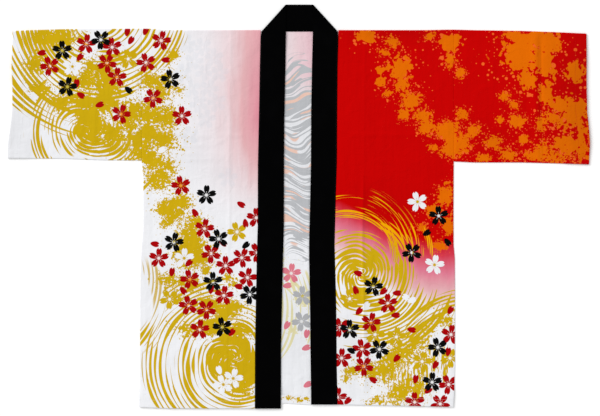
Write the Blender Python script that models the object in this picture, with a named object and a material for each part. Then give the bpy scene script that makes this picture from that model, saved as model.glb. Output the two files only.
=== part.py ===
"""Happi coat: a short, straight cotton coat with a plain collar strip, laid flat with its fronts up.

Run with: blender --background --python part.py

Metres, +Z up. The coat lies on the plane z = 0 with its back panel down. +Y runs from the hem to the
collar and +X towards the wearer's left sleeve. The origin is the middle of the outline, on the plane.
Each sewn piece is one closed wall of cloth and one object:

    back                        one panel, its hem turned up to the inside
    front_right, front_left     carried over the shoulder fold to meet the back, hems turned in
    sleeve_right, sleeve_left   one piece each, folded at the top and seamed below, cuffs turned in
    collar                      one strip, folded at 45 degrees at each side of the neck

A wall is made from a grid of points on the middle of the cloth, moved half its thickness each way.
"""

import math
from collections import namedtuple

import bmesh
import bpy
import numpy as np

# ---------------------------------------------------------------- Driving sizes, in metres

CLOTH = 0.0010  # wall of the body cloth
GAP = 0.0003  # left at each seam and between layers
COLLAR_THICK = 0.0024  # the collar strip, four layers of cotton pressed together

COLLAR_TOP = 0.4284  # top edge of the strip behind the neck
SHOULDER = 0.3745  # shoulder fold of the body
NECKLINE = 0.3712  # where the strip is sewn to the back
ARMHOLE_END = 0.0980  # underarm, the lower end of the armhole

BODY_HEM_DEPTH = 0.0180  # cloth turned up at the hem
CUFF_HEM_DEPTH = 0.0270  # cloth turned in at the cuff
HEM_RISE = 0.0450  # length over which the cloth climbs onto a hem

AIR = 0.0022  # how far the upper layer stands off the lower one
AIR_REACH = 0.0400  # distance from a closed edge to where it does so
CREASE_HEIGHT = 0.0009  # ridge left where the coat was folded away
CREASE_HALF_WIDTH = 0.0090

COLLAR_EDGE_ROLL = 0.0008  # how far the strip's folded edges round outwards
COLLAR_SETTLE = 0.0420  # length over which the strip comes down from the neck fold
FOLD_LEAD = 0.0100  # straight part of the strip below the neck fold

# ---------------------------------------------------------------- Layer heights

LAYER = CLOTH + GAP  # middle of one layer to the middle of the next
FLOOR_LAYER = CLOTH / 2  # middle of the cloth that rests on the plane
UPPER_LAYER = FLOOR_LAYER + LAYER  # middle of the fronts where they lie on the back
OVER_HEM = UPPER_LAYER + 2 * LAYER  # middle of the upper cloth where two hems lie under it
COLLAR_FLOOR = COLLAR_THICK / 2  # middle of the strip behind the neck
COLLAR_FOLDED = COLLAR_FLOOR + COLLAR_THICK + GAP  # middle of the strip lying on itself
COLLAR_ON_BACK = CLOTH + GAP + COLLAR_THICK / 2  # middle of the strip on the back panel
COLLAR_ON_HEM = COLLAR_ON_BACK + LAYER  # middle of the strip on the back's hem

# ---------------------------------------------------------------- Outline tables, in metres

# One row for each height. side is the armhole and side seam, seam is where the collar strip is sewn on,
# and free is the strip's free edge at the front opening.
Section = namedtuple("Section", "y side seam free")

RIGHT_SECTIONS = [
    Section(0.372, -0.3335, -0.0805, -0.0271),
    Section(0.300, -0.3335, -0.0822, -0.0281),
    Section(0.200, -0.3335, -0.0840, -0.0303),
    Section(0.095, -0.3335, -0.0863, -0.0313),
    Section(0.060, -0.3300, -0.0865, -0.0313),
    Section(-0.040, -0.3296, -0.0867, -0.0315),
    Section(-0.110, -0.3350, -0.0888, -0.0334),
    Section(-0.200, -0.3367, -0.0907, -0.0355),
    Section(-0.300, -0.3369, -0.0926, -0.0375),
    Section(-0.380, -0.3371, -0.0928, -0.0377),
    Section(-0.4286, -0.3390, -0.0930, -0.0379),
]
LEFT_SECTIONS = [
    Section(0.372, 0.3290, 0.0842, 0.0300),
    Section(0.300, 0.3290, 0.0822, 0.0281),
    Section(0.200, 0.3290, 0.0814, 0.0262),
    Section(0.093, 0.3290, 0.0808, 0.0258),
    Section(0.000, 0.3284, 0.0780, 0.0239),
    Section(-0.080, 0.3286, 0.0759, 0.0218),
    Section(-0.110, 0.3312, 0.0768, 0.0219),
    Section(-0.200, 0.3316, 0.0792, 0.0237),
    Section(-0.340, 0.3316, 0.0806, 0.0252),
    Section(-0.390, 0.3300, 0.0818, 0.0260),
    Section(-0.4286, 0.3273, 0.0824, 0.0262),
]

# Hem lines, from left to right across the coat.
HemPoint = namedtuple("HemPoint", "x y")

RIGHT_HEM = [HemPoint(-0.339, -0.4255), HemPoint(-0.265, -0.4284), HemPoint(-0.093, -0.4286)]
LEFT_HEM = [HemPoint(0.082, -0.4202), HemPoint(0.245, -0.4233), HemPoint(0.327, -0.4255)]
BACK_HEM = [
    HemPoint(-0.339, -0.4225),
    HemPoint(-0.036, -0.4176),
    HemPoint(0.020, -0.4212),
    HemPoint(0.327, -0.4225),
]
COLLAR_ENDS = {"right": -0.4286, "left": -0.4202}

# Sleeve edges: one row for each distance along the sleeve, 0 at the armhole and 1 at the cuff.
SleeveEdge = namedtuple("SleeveEdge", "along top bottom")
# Cuff line: one row for each height across the sleeve, 0 at the underarm seam and 1 at the top fold.
CuffPoint = namedtuple("CuffPoint", "across x")

RIGHT_SLEEVE = [
    SleeveEdge(0.00, 0.3777, 0.0976),
    SleeveEdge(0.30, 0.3770, 0.0987),
    SleeveEdge(0.60, 0.3766, 0.1019),
    SleeveEdge(0.86, 0.3745, 0.1019),
    SleeveEdge(1.00, 0.3724, 0.1019),
]
RIGHT_CUFF = [
    CuffPoint(0.00, -0.6180),
    CuffPoint(0.12, -0.6165),
    CuffPoint(0.26, -0.6110),
    CuffPoint(0.38, -0.6077),
    CuffPoint(0.58, -0.6075),
    CuffPoint(0.72, -0.6096),
    CuffPoint(0.86, -0.6078),
    CuffPoint(1.00, -0.6075),
]
LEFT_SLEEVE = [
    SleeveEdge(0.00, 0.3756, 0.0955),
    SleeveEdge(0.15, 0.3745, 0.0934),
    SleeveEdge(0.50, 0.3730, 0.0934),
    SleeveEdge(0.75, 0.3705, 0.0915),
    SleeveEdge(1.00, 0.3671, 0.0891),
]
LEFT_CUFF = [
    CuffPoint(0.00, 0.6160),
    CuffPoint(0.16, 0.6180),
    CuffPoint(0.30, 0.6150),
    CuffPoint(0.40, 0.6118),
    CuffPoint(0.60, 0.6107),
    CuffPoint(1.00, 0.6107),
]

# Upright creases, as a share of the way from the side to the collar seam, or along the sleeve.
FRONT_CREASE = {"right": 0.75, "left": 0.77}
SLEEVE_CREASE = {"right": 0.36, "left": 0.66}
# The one crease across each front, as a share of the way from the shoulder to the hem.
CROSS_CREASE = 0.278

# ---------------------------------------------------------------- Grid spacing

FRONT_DOWN = [0.0, 0.013, 0.035, 0.065, 0.12, 0.18, 0.23, 0.266, 0.278, 0.29, 0.345, 0.40, 0.47, 0.54]
FRONT_DOWN += [0.61, 0.68, 0.75, 0.82, 0.88, 0.922, 0.95]
FRONT_ACROSS = [0.0, 0.05, 0.13, 0.22, 0.32, 0.42, 0.52, 0.62]
FRONT_PAST_CREASE = [0.87, 0.94, 1.0]
BACK_DOWN = [0.0, 0.03, 0.10, 0.20, 0.345, 0.47, 0.60, 0.73, 0.86, 0.93]
BACK_ACROSS = [0.0, 0.06, 0.14, 0.24, 0.34, 0.42, 0.47, 0.505, 0.54, 0.60, 0.68, 0.78, 0.88, 0.95, 1.0]
SLEEVE_ALONG = [0.0, 0.08, 0.18, 0.28, 0.44, 0.52, 0.60, 0.74, 0.84]
SLEEVE_ACROSS = [0.0, 0.06, 0.16, 0.30, 0.44, 0.58, 0.72, 0.86, 0.95, 1.0]
COLLAR_ACROSS = [0.0, 0.33, 0.67, 1.0]
COLLAR_STEP = 0.040  # spacing of the strip's rows
BEND_STEPS = 4  # faces round a folded edge

# ---------------------------------------------------------------- Colours: base colour, roughness

WHITE_COTTON = ((0.86, 0.87, 0.90, 1.0), 0.85)
RED_COTTON = ((0.60, 0.01, 0.01, 1.0), 0.85)
BLACK_COTTON = ((0.012, 0.012, 0.014, 1.0), 0.9)
PALE_COTTON = ((0.80, 0.72, 0.73, 1.0), 0.85)


# ---------------------------------------------------------------- Helpers


def read(table, key, at, column):
    """A column of a table at a value of its key column, on straight lines between the rows."""
    rows = sorted(table, key=lambda row: getattr(row, key))
    keys = [getattr(row, key) for row in rows]
    return float(np.interp(at, keys, [getattr(row, column) for row in rows]))


def ease(t):
    """0 up to t = 0, 1 from t = 1, and a smooth climb between."""
    t = min(max(t, 0.0), 1.0)
    return t * t * (3 - 2 * t)


def between(a, b, share):
    return a + share * (b - a)


def distance_to_line(x, y, ax, ay, bx, by):
    """The distance from a point to a straight stretch from a to b."""
    length = (bx - ax) ** 2 + (by - ay) ** 2
    share = min(max(((x - ax) * (bx - ax) + (y - ay) * (by - ay)) / length, 0.0), 1.0)
    return math.hypot(x - between(ax, bx, share), y - between(ay, by, share))


def closed_edges(side):
    """The stretches of one half's outline where front and back are joined, so the cloth lies close."""
    sections, sleeve, cuff = SIDES[side].sections, SIDES[side].sleeve, SIDES[side].cuff
    armhole = sections[0].side
    underarm = (armhole, sleeve[0].bottom)
    seam_end = (cuff[0].x, sleeve[-1].bottom)
    fold_end = (cuff[-1].x, sleeve[-1].top)
    corners = [(row.side, row.y) for row in sections if row.y < ARMHOLE_END]
    seams = [seam_end, underarm] + corners
    return list(zip(seams, seams[1:])) + [((sections[0].seam, SHOULDER), fold_end)]


def air(side, x, y):
    """How far the upper layer stands off: nothing at a closed edge, and uneven away from it."""
    near = min(distance_to_line(x, y, *a, *b) for a, b in closed_edges(side))
    reach = 1 - math.exp(-((near / AIR_REACH) ** 2))
    swell = 0.72 + 0.20 * math.sin(19 * x + 7 * y + 1.3) + 0.16 * math.sin(23 * y - 11 * x)
    return AIR * reach * swell


def crease(offset):
    """The height of a soft ridge at a distance from its crest."""
    return CREASE_HEIGHT * math.exp(-((offset / (0.5 * CREASE_HALF_WIDTH)) ** 2))


def collar_height(y, end):
    """The height of the middle of a hanging stretch of the strip: folded on itself at the neck, then on
    the back panel, then on the back's hem."""
    settled = ease((NECKLINE - FOLD_LEAD - y) / COLLAR_SETTLE)
    climb = ease((end + BODY_HEM_DEPTH + HEM_RISE - y) / (HEM_RISE - BODY_HEM_DEPTH))
    height = between(COLLAR_FOLDED, COLLAR_ON_BACK, settled)
    return between(height, COLLAR_ON_HEM, climb)


# ---------------------------------------------------------------- Walls


def wall(name, grid, thick, material, ring=False, roll=0.0):
    """One closed wall round a grid of points on the middle of the cloth.

    grid is indexed [row][column]. With ring, the columns close on themselves and make a tube. roll moves
    the middle of the two long edges outwards, as a folded edge rounds.
    """
    middle = np.array(grid, dtype=float)
    rows, columns = middle.shape[:2]
    along = np.gradient(middle, axis=0)
    if ring:
        across = np.roll(middle, -1, axis=1) - np.roll(middle, 1, axis=1)
    else:
        across = np.gradient(middle, axis=1)
    normal = np.cross(across, along)
    normal /= np.linalg.norm(normal, axis=2, keepdims=True)
    upper = middle + normal * thick / 2
    lower = middle - normal * thick / 2

    mesh = bmesh.new()
    top = [[mesh.verts.new(p) for p in row] for row in upper]
    bottom = [[mesh.verts.new(p) for p in row] for row in lower]
    pairs = [(j, (j + 1) % columns) for j in range(columns if ring else columns - 1)]
    for i in range(rows - 1):
        for j, k in pairs:
            mesh.faces.new((top[i][j], top[i][k], top[i + 1][k], top[i + 1][j]))
            mesh.faces.new((bottom[i][j], bottom[i + 1][j], bottom[i + 1][k], bottom[i][k]))
    for j, k in pairs:
        mesh.faces.new((top[0][k], top[0][j], bottom[0][j], bottom[0][k]))
        mesh.faces.new((top[-1][j], top[-1][k], bottom[-1][k], bottom[-1][j]))
    if not ring:
        for j, inner in ((0, 1), (columns - 1, columns - 2)):
            close_edge(mesh, top, bottom, middle, j, inner, roll)
    bmesh.ops.recalc_face_normals(mesh, faces=mesh.faces)

    data = bpy.data.meshes.new(name)
    mesh.to_mesh(data)
    mesh.free()
    data.shade_smooth()
    data.set_sharp_from_angle(angle=math.radians(50))
    data.materials.append(material)
    piece = bpy.data.objects.new(name, data)
    bpy.context.collection.objects.link(piece)
    return piece


def close_edge(mesh, top, bottom, middle, j, inner, roll):
    """Faces along one long edge of a wall, rounded outwards by roll."""
    rows = len(top)
    if roll == 0.0:
        for i in range(rows - 1):
            mesh.faces.new((top[i][j], top[i + 1][j], bottom[i + 1][j], bottom[i][j]))
        return
    outward = middle[:, j] - middle[:, inner]
    outward /= np.linalg.norm(outward, axis=1, keepdims=True)
    ridge = [mesh.verts.new(p) for p in middle[:, j] + outward * roll]
    for i in range(rows - 1):
        mesh.faces.new((top[i][j], top[i + 1][j], ridge[i + 1], ridge[i]))
        mesh.faces.new((ridge[i], ridge[i + 1], bottom[i + 1][j], bottom[i][j]))
    mesh.faces.new((top[0][j], ridge[0], bottom[0][j]))
    mesh.faces.new((top[-1][j], bottom[-1][j], ridge[-1]))


def cotton(name, finish):
    """A matt cotton material."""
    colour, roughness = finish
    material = bpy.data.materials.new(name)
    material.use_nodes = True
    shader = material.node_tree.nodes["Principled BSDF"]
    shader.inputs["Base Color"].default_value = colour
    shader.inputs["Roughness"].default_value = roughness
    shader.inputs["Metallic"].default_value = 0.0
    material.diffuse_color = colour
    return material


# ---------------------------------------------------------------- Pieces


def front_height(side, x, y, across, down, hem_y):
    """The height of the middle of a front panel."""
    sections = SIDES[side].sections
    height = UPPER_LAYER + air(side, x, y)
    width = abs(read(sections, "y", y, "seam") - read(sections, "y", y, "side"))
    height += crease((across - FRONT_CREASE[side]) * width)
    height += 0.6 * crease((down - CROSS_CREASE) * (SHOULDER - hem_y)) * ease(across / 0.2)
    height = between(height, OVER_HEM, ease((hem_y + BODY_HEM_DEPTH + HEM_RISE - y) / HEM_RISE))
    sewn = collar_height(y, hem_y) - between(0.0, COLLAR_THICK / 4, ease((y - ARMHOLE_END) / 0.25))
    return between(height, sewn, ease((across - 0.82) / 0.18) * ease((y - hem_y) / 0.08))


def front(side):
    """A front panel: from its edge behind the shoulder, over the fold, down to the hem and up inside."""
    half = SIDES[side]
    fold = FRONT_CREASE[side]
    across_steps = FRONT_ACROSS + [fold - 0.04, fold, fold + 0.04] + FRONT_PAST_CREASE
    columns = []
    for across in across_steps:
        edge_x = read(half.sections, "y", SHOULDER, "side") + half.sign * -GAP / 2
        seam_x = read(half.sections, "y", SHOULDER, "seam") + half.sign * GAP
        hem_y = read(half.hem, "x", between(edge_x, seam_x, across), "y")
        hem_edge = hem_y + CLOTH / 2 + LAYER / 2
        shoulder_y = between(half.sleeve[0].top, SHOULDER, ease(across / 0.3))

        def place(y, down):
            side_x = read(half.sections, "y", y, "side") - half.sign * GAP / 2
            sewn_x = read(half.sections, "y", y, "seam") + half.sign * GAP
            x = between(side_x, sewn_x, across)
            return x, y, front_height(side, x, y, across, down, hem_y)

        # Over the shoulder: a half turn from the upper layer down to the plane.
        x, _, top_z = place(shoulder_y, 0.0)
        radius = (top_z - FLOOR_LAYER) / 2
        centre_y = shoulder_y - CLOTH / 2 - radius
        points = [(x, NECKLINE + GAP, FLOOR_LAYER)]
        for step in range(BEND_STEPS + 1):
            turn = math.pi * step / BEND_STEPS
            y = centre_y + radius * math.sin(turn)
            points.append((x, y, FLOOR_LAYER + radius * (1 - math.cos(turn))))
        # Down the front.
        length = centre_y - hem_edge
        for down in FRONT_DOWN[1:]:
            points.append(place(centre_y - down * length, down))
        points.append(place(hem_y + BODY_HEM_DEPTH, 1.0))
        # Round the hem and up inside.
        x, _, hem_z = place(hem_edge, 1.0)
        for step in range(BEND_STEPS + 1):
            turn = math.pi * step / BEND_STEPS
            y = hem_edge - LAYER / 2 * math.sin(turn)
            points.append((x, y, hem_z - LAYER / 2 * (1 - math.cos(turn))))
        x, y, z = place(hem_y + BODY_HEM_DEPTH, 1.0)
        points.append((x, y, z - LAYER))
        columns.append(points)
    return wall(f"front_{side}", transpose(columns), CLOTH, half.material)


def back(material):
    """The back panel: flat on the plane, its hem turned up to the inside."""
    columns = []
    for across in BACK_ACROSS:

        def place(y):
            right = read(RIGHT_SECTIONS, "y", y, "side") + GAP / 2
            left = read(LEFT_SECTIONS, "y", y, "side") - GAP / 2
            return between(right, left, across)

        hem_y = read(BACK_HEM, "x", place(BACK_HEM[0].y), "y")
        hem_edge = hem_y + CLOTH / 2 + LAYER / 2
        length = NECKLINE - hem_edge
        points = []
        for down in BACK_DOWN:
            y = NECKLINE - down * length
            points.append((place(y), y, FLOOR_LAYER))
        for step in range(BEND_STEPS + 1):
            turn = math.pi * step / BEND_STEPS
            y = hem_edge - LAYER / 2 * math.sin(turn)
            points.append((place(hem_edge), y, FLOOR_LAYER + LAYER / 2 * (1 - math.cos(turn))))
        y = hem_y + BODY_HEM_DEPTH
        points.append((place(y), y, UPPER_LAYER))
        columns.append(points)
    return wall("back", transpose(columns), CLOTH, material)


def sleeve_ring(side, along):
    """Points round a sleeve at a distance along it, each with the direction that faces out."""
    half = SIDES[side]
    armhole = half.sections[0].side + half.sign * GAP / 2
    top = read(half.sleeve, "along", along, "top")
    bottom = read(half.sleeve, "along", along, "bottom")
    to_cuff = abs(half.cuff[0].x - armhole) * (1 - along)
    on_hem = ease((CUFF_HEM_DEPTH + HEM_RISE - to_cuff) / HEM_RISE)
    edge_z = between(UPPER_LAYER, OVER_HEM, on_hem)
    radius = (edge_z - FLOOR_LAYER) / 2
    low_y = bottom + CLOTH / 2 + radius
    high_y = top - CLOTH / 2 - radius
    ridge = crease((along - SLEEVE_CREASE[side]) * abs(half.cuff[0].x - armhole))

    def x_at(share):
        return between(armhole, read(half.cuff, "across", share, "x"), along)

    ring = []
    for share in SLEEVE_ACROSS:
        point = (x_at(share), between(low_y, high_y, share), FLOOR_LAYER)
        ring.append((point, (0.0, 0.0, -1.0)))
    for step in range(1, BEND_STEPS):
        turn = math.pi * step / BEND_STEPS
        out = (0.0, math.sin(turn), -math.cos(turn))
        point = (x_at(1.0), high_y + radius * out[1], FLOOR_LAYER + radius * (1 + out[2]))
        ring.append((point, out))
    for share in reversed(SLEEVE_ACROSS):
        x, y = x_at(share), between(low_y, high_y, share)
        lift = (air(side, x, y) + ridge) * ease(min(share, 1 - share) / 0.05)
        ring.append(((x, y, edge_z + lift), (0.0, 0.0, 1.0)))
    for step in range(1, BEND_STEPS):
        turn = math.pi * step / BEND_STEPS
        out = (0.0, -math.sin(turn), math.cos(turn))
        point = (x_at(0.0), low_y + radius * out[1], FLOOR_LAYER + radius * (1 + out[2]))
        ring.append((point, out))
    return ring


def sleeve(side):
    """A sleeve laid flat: a tube from the armhole to the cuff, its hem turned in."""
    half = SIDES[side]
    length = abs(half.cuff[0].x - half.sections[0].side)
    bend = LAYER / 2
    edge = 1 - (CLOTH / 2 + bend) / length
    hem_start = 1 - CUFF_HEM_DEPTH / length
    fold = SLEEVE_CREASE[side]
    stations = sorted(SLEEVE_ALONG + [fold - 0.035, fold, fold + 0.035, hem_start])
    rows = [[point for point, _ in sleeve_ring(side, along)] for along in stations]
    last = sleeve_ring(side, edge)
    for step in range(BEND_STEPS + 1):
        turn = math.pi * step / BEND_STEPS
        inward = bend * (1 - math.cos(turn))
        beyond = half.sign * bend * math.sin(turn)
        rows.append([moved_in(point, out, inward, beyond) for point, out in last])
    rows.append([moved_in(point, out, LAYER, 0.0) for point, out in sleeve_ring(side, hem_start)])
    return wall(f"sleeve_{side}", rows, CLOTH, half.material, ring=True)


def moved_in(point, out, inward, beyond):
    """A point moved in from the cloth's face, and along the sleeve."""
    return (point[0] + beyond, point[1] - inward * out[1], point[2] - inward * out[2])


def hanging_rows(side):
    """Rows of the strip from its lower end to the start of the neck fold."""
    half = SIDES[side]
    end = COLLAR_ENDS[side]
    top = NECKLINE - FOLD_LEAD
    count = round((top - end) / COLLAR_STEP)
    rows = []
    for step in range(count + 1):
        y = between(end, top, step / count)
        seam_x = read(half.sections, "y", y, "seam") - half.sign * COLLAR_EDGE_ROLL
        free_x = read(half.sections, "y", y, "free") + half.sign * COLLAR_EDGE_ROLL
        rows.append([(between(seam_x, free_x, w), y, collar_height(y, end)) for w in COLLAR_ACROSS])
    return rows


def neck_fold(side):
    """Rows from the hanging stretch onto the 45 degree fold and round it, seam edge first."""
    half = SIDES[side]
    radius = (COLLAR_FOLDED - COLLAR_FLOOR) / 2
    inset = (radius + COLLAR_THICK / 2) / math.sqrt(2)
    # The strip crosses the bend at 45 degrees, so it moves along the fold as it goes round.
    drift = math.pi * radius / math.sqrt(2)
    top = NECKLINE - FOLD_LEAD
    seam_x = read(half.sections, "y", SHOULDER, "seam") - half.sign * (COLLAR_EDGE_ROLL + inset)
    free_x = read(half.sections, "y", SHOULDER, "free") + half.sign * COLLAR_EDGE_ROLL
    seam_end = (seam_x, NECKLINE + COLLAR_EDGE_ROLL - drift)
    free_end = (free_x, COLLAR_TOP - COLLAR_EDGE_ROLL - drift)
    length = math.dist(seam_end, free_end)
    fold = ((free_end[0] - seam_end[0]) / length, (free_end[1] - seam_end[1]) / length)
    out = (half.sign * fold[1], abs(fold[0]))
    rows = []
    for share in (1 / 3, 2 / 3):
        row = []
        for w in COLLAR_ACROSS:
            start_x = between(read(half.sections, "y", top, "seam"), read(half.sections, "y", top, "free"), w)
            x = between(start_x, between(seam_end[0], free_end[0], w), share)
            y = between(top, between(seam_end[1], free_end[1], w), share)
            row.append((x, y, COLLAR_FOLDED))
        rows.append(row)
    for step in range(BEND_STEPS + 1):
        turn = math.pi * step / BEND_STEPS
        reach = radius * math.sin(turn)
        along = radius * turn
        z = COLLAR_FLOOR + radius * (1 + math.cos(turn))
        row = []
        for w in COLLAR_ACROSS:
            x = between(seam_end[0], free_end[0], w) + reach * out[0] + along * fold[0]
            y = between(seam_end[1], free_end[1], w) + reach * out[1] + along * fold[1]
            row.append((x, y, z))
        rows.append(row)
    return rows


def collar(material):
    """The collar strip: up one front, folded, along the back of the neck, folded, down the other front."""
    rows = hanging_rows("right") + neck_fold("right")
    onward = list(reversed(neck_fold("left")))
    first, last = rows[-1], onward[0]
    for share in (0.25, 0.5, 0.75):
        row = []
        for start, end in zip(first, last):
            row.append(tuple(between(a, b, share) for a, b in zip(start, end)))
        rows.append(row)
    rows += onward + list(reversed(hanging_rows("left")))
    return wall("collar", rows, COLLAR_THICK, material, roll=COLLAR_EDGE_ROLL)


def transpose(columns):
    return [list(row) for row in zip(*columns)]


# ---------------------------------------------------------------- The coat

for old in list(bpy.data.objects):
    bpy.data.objects.remove(old, do_unlink=True)

Half = namedtuple("Half", "sign sections hem sleeve cuff material")
SIDES = {
    "right": Half(-1, RIGHT_SECTIONS, RIGHT_HEM, RIGHT_SLEEVE, RIGHT_CUFF, cotton("white_cotton", WHITE_COTTON)),
    "left": Half(1, LEFT_SECTIONS, LEFT_HEM, LEFT_SLEEVE, LEFT_CUFF, cotton("red_cotton", RED_COTTON)),
}

back(cotton("pale_cotton", PALE_COTTON))
for wearers_side in SIDES:
    front(wearers_side)
    sleeve(wearers_side)
collar(cotton("black_cotton", BLACK_COTTON))
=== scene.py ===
"""Happi coat laid flat: the finished cloth, its print, its stitches and a pale stage.

Metres, +Z up. The coat lies on z = 0 with its fronts up and its collar towards +Y. Each sewn piece is a
thin shell on the same middle surface as its solid. Its print is placed on the cloth by tables in
millimetres: x across the coat, and y up it, measured along the cloth over the shoulder and the hem.
"""

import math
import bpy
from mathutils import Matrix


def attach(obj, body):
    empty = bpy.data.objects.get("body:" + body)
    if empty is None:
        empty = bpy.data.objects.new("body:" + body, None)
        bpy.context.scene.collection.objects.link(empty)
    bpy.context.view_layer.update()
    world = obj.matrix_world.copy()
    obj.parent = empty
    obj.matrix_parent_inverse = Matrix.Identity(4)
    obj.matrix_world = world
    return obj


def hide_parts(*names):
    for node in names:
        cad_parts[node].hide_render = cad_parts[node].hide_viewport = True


bl_info = {
    "name": "Happi Coat",
    "version": (1, 0, 0),
    "blender": (4, 5, 0),
    "location": "3D View > Sidebar > Happi",
    "description": "A short printed cotton coat, laid flat",
    "category": "Object",
}

from collections import namedtuple

import bpy
import numpy as np
from bpy.props import FloatProperty, FloatVectorProperty, IntProperty, PointerProperty

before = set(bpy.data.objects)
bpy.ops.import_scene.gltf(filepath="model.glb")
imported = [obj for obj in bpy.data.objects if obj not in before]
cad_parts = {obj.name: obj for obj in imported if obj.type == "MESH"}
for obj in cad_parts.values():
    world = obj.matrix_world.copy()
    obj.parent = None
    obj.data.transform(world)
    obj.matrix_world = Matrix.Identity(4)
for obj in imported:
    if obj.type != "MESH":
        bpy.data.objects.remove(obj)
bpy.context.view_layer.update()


def listed(kind, *values):
    """A table: each row's values, as one kind of thing."""
    return [kind(*row) for row in values]


# ---------------------------------------------------------------- The coat's own sizes, in metres

LAYER_CLOTH = 0.0010  # the cloth as the layers' heights count it
GAP = 0.0003
COLLAR_THICK = 0.0024
COLLAR_TOP = 0.4284
SHOULDER = 0.3745
NECKLINE = 0.3712
ARMHOLE_END = 0.0980
BODY_HEM_DEPTH = 0.0180
CUFF_HEM_DEPTH = 0.0270
HEM_RISE = 0.0450
AIR_REACH = 0.0400
CREASE_HEIGHT = 0.0009
CREASE_HALF_WIDTH = 0.0090
COLLAR_SETTLE = 0.0420
FOLD_LEAD = 0.0100
SEAM = 0.0001  # between two pieces at a seam
SEAM_DIP = 0.00045  # how far the upper cloth turns down at a seam
SEAM_DIP_REACH = 0.0016
SEAM_LEAD = np.array([0.0, 0.0002, 0.0005, 0.0009, 0.0015, 0.0024])  # points that lie close to a seam
EDGE_ROUND = 0.0006
FRONT_WIDTH = 0.250
FRONT_LENGTH = 0.800
BACK_WIDTH = 0.665
BACK_LENGTH = 0.790
SLEEVE_DEPTH = 0.275
COLLAR_WIDTH = 0.055
COLLAR_STEP = 0.005
STITCH_INSET = 0.002  # from a hem's inner edge
STITCH_LIFT = 0.00005
HALF_TURN = np.linspace(0, math.pi, 9)  # round a fold or a hem's edge
HEM_ROWS = 7
CUFF_HEM_ROWS = 8
CUFF_ROWS = 19  # from just short of the cuff, round its edge and up inside

LAYER = LAYER_CLOTH + GAP
FLOOR_LAYER = LAYER_CLOTH / 2
UPPER_LAYER = FLOOR_LAYER + LAYER
OVER_HEM = UPPER_LAYER + 2 * LAYER
COLLAR_FLOOR = COLLAR_THICK / 2
COLLAR_FOLDED = COLLAR_FLOOR + COLLAR_THICK + GAP
COLLAR_ON_BACK = LAYER_CLOTH + GAP + COLLAR_THICK / 2
COLLAR_ON_HEM = COLLAR_ON_BACK + LAYER
COLLAR_REST = NECKLINE - FOLD_LEAD  # where the strip starts to climb to its neck fold
HEM_BEND = LAYER / 2
BETWEEN_LAYERS = 0.0011
CROSS_CREASE = 0.278

# At a height: the side seam, the collar's seam and the collar's free edge.
Section = namedtuple("Section", "y side seam free")
HemPoint = namedtuple("HemPoint", "x y")
# At a share of the way from the armhole to the cuff: the sleeve's two edges.
SleeveEdge = namedtuple("SleeveEdge", "along top bottom")
# At a share of the way up the cuff: where it ends.
CuffPoint = namedtuple("CuffPoint", "across x")
# One side of the coat. sign is the side of x on which it lies, and end is the collar's lower end. Its
# folds lie at a share of the front's width from the side seam, and of the sleeve's length.
Half = namedtuple("Half", "name sign sections hem sleeve cuff end front_crease sleeve_crease")

BACK_HEM = listed(HemPoint, (-0.339, -0.4225), (-0.036, -0.4176), (0.02, -0.4212), (0.327, -0.4225))

RIGHT = Half(
    name="right",
    sign=-1,
    sections=listed(
        Section,
        (0.372, -0.3335, -0.0805, -0.0271), (0.3, -0.3335, -0.0822, -0.0281),
        (0.2, -0.3335, -0.084, -0.0303), (0.095, -0.3335, -0.0863, -0.0313),
        (0.06, -0.33, -0.0865, -0.0313), (-0.04, -0.3296, -0.0867, -0.0315),
        (-0.11, -0.335, -0.0888, -0.0334), (-0.2, -0.3367, -0.0907, -0.0355),
        (-0.3, -0.3369, -0.0926, -0.0375), (-0.38, -0.3371, -0.0928, -0.0377),
        (-0.4286, -0.339, -0.093, -0.0379),
    ),
    hem=listed(HemPoint, (-0.339, -0.4255), (-0.265, -0.4284), (-0.093, -0.4286)),
    sleeve=listed(
        SleeveEdge,
        (0.0, 0.3777, 0.0976), (0.3, 0.377, 0.0987), (0.6, 0.3766, 0.1019), (0.86, 0.3745, 0.1019),
        (1.0, 0.3724, 0.1019),
    ),
    cuff=listed(
        CuffPoint,
        (0.0, -0.618), (0.12, -0.6165), (0.26, -0.611), (0.38, -0.6077), (0.58, -0.6075), (0.72, -0.6096),
        (0.86, -0.6078), (1.0, -0.6075),
    ),
    end=-0.4286,
    front_crease=0.75,
    sleeve_crease=0.36,
)
LEFT = Half(
    name="left",
    sign=1,
    sections=listed(
        Section,
        (0.372, 0.329, 0.0842, 0.03), (0.3, 0.329, 0.0822, 0.0281), (0.2, 0.329, 0.0814, 0.0262),
        (0.093, 0.329, 0.0808, 0.0258), (0.0, 0.3284, 0.078, 0.0239), (-0.08, 0.3286, 0.0759, 0.0218),
        (-0.11, 0.3312, 0.0768, 0.0219), (-0.2, 0.3316, 0.0792, 0.0237), (-0.34, 0.3316, 0.0806, 0.0252),
        (-0.39, 0.33, 0.0818, 0.026), (-0.4286, 0.3273, 0.0824, 0.0262),
    ),
    hem=listed(HemPoint, (0.082, -0.4202), (0.245, -0.4233), (0.327, -0.4255)),
    sleeve=listed(
        SleeveEdge,
        (0.0, 0.3756, 0.0955), (0.15, 0.3745, 0.0934), (0.5, 0.373, 0.0934), (0.75, 0.3705, 0.0915),
        (1.0, 0.3671, 0.0891),
    ),
    cuff=listed(
        CuffPoint,
        (0.0, 0.616), (0.16, 0.618), (0.3, 0.615), (0.4, 0.6118), (0.6, 0.6107), (1.0, 0.6107),
    ),
    end=-0.4202,
    front_crease=0.77,
    sleeve_crease=0.66,
)

# Soft creases left by folding and handling, in millimetres: a stretch of line, how far the swelling
# reaches to each side, and its height. A trough has a height below nought.
Crease = namedtuple("Crease", "x0 y0 x1 y1 reach height")

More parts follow.
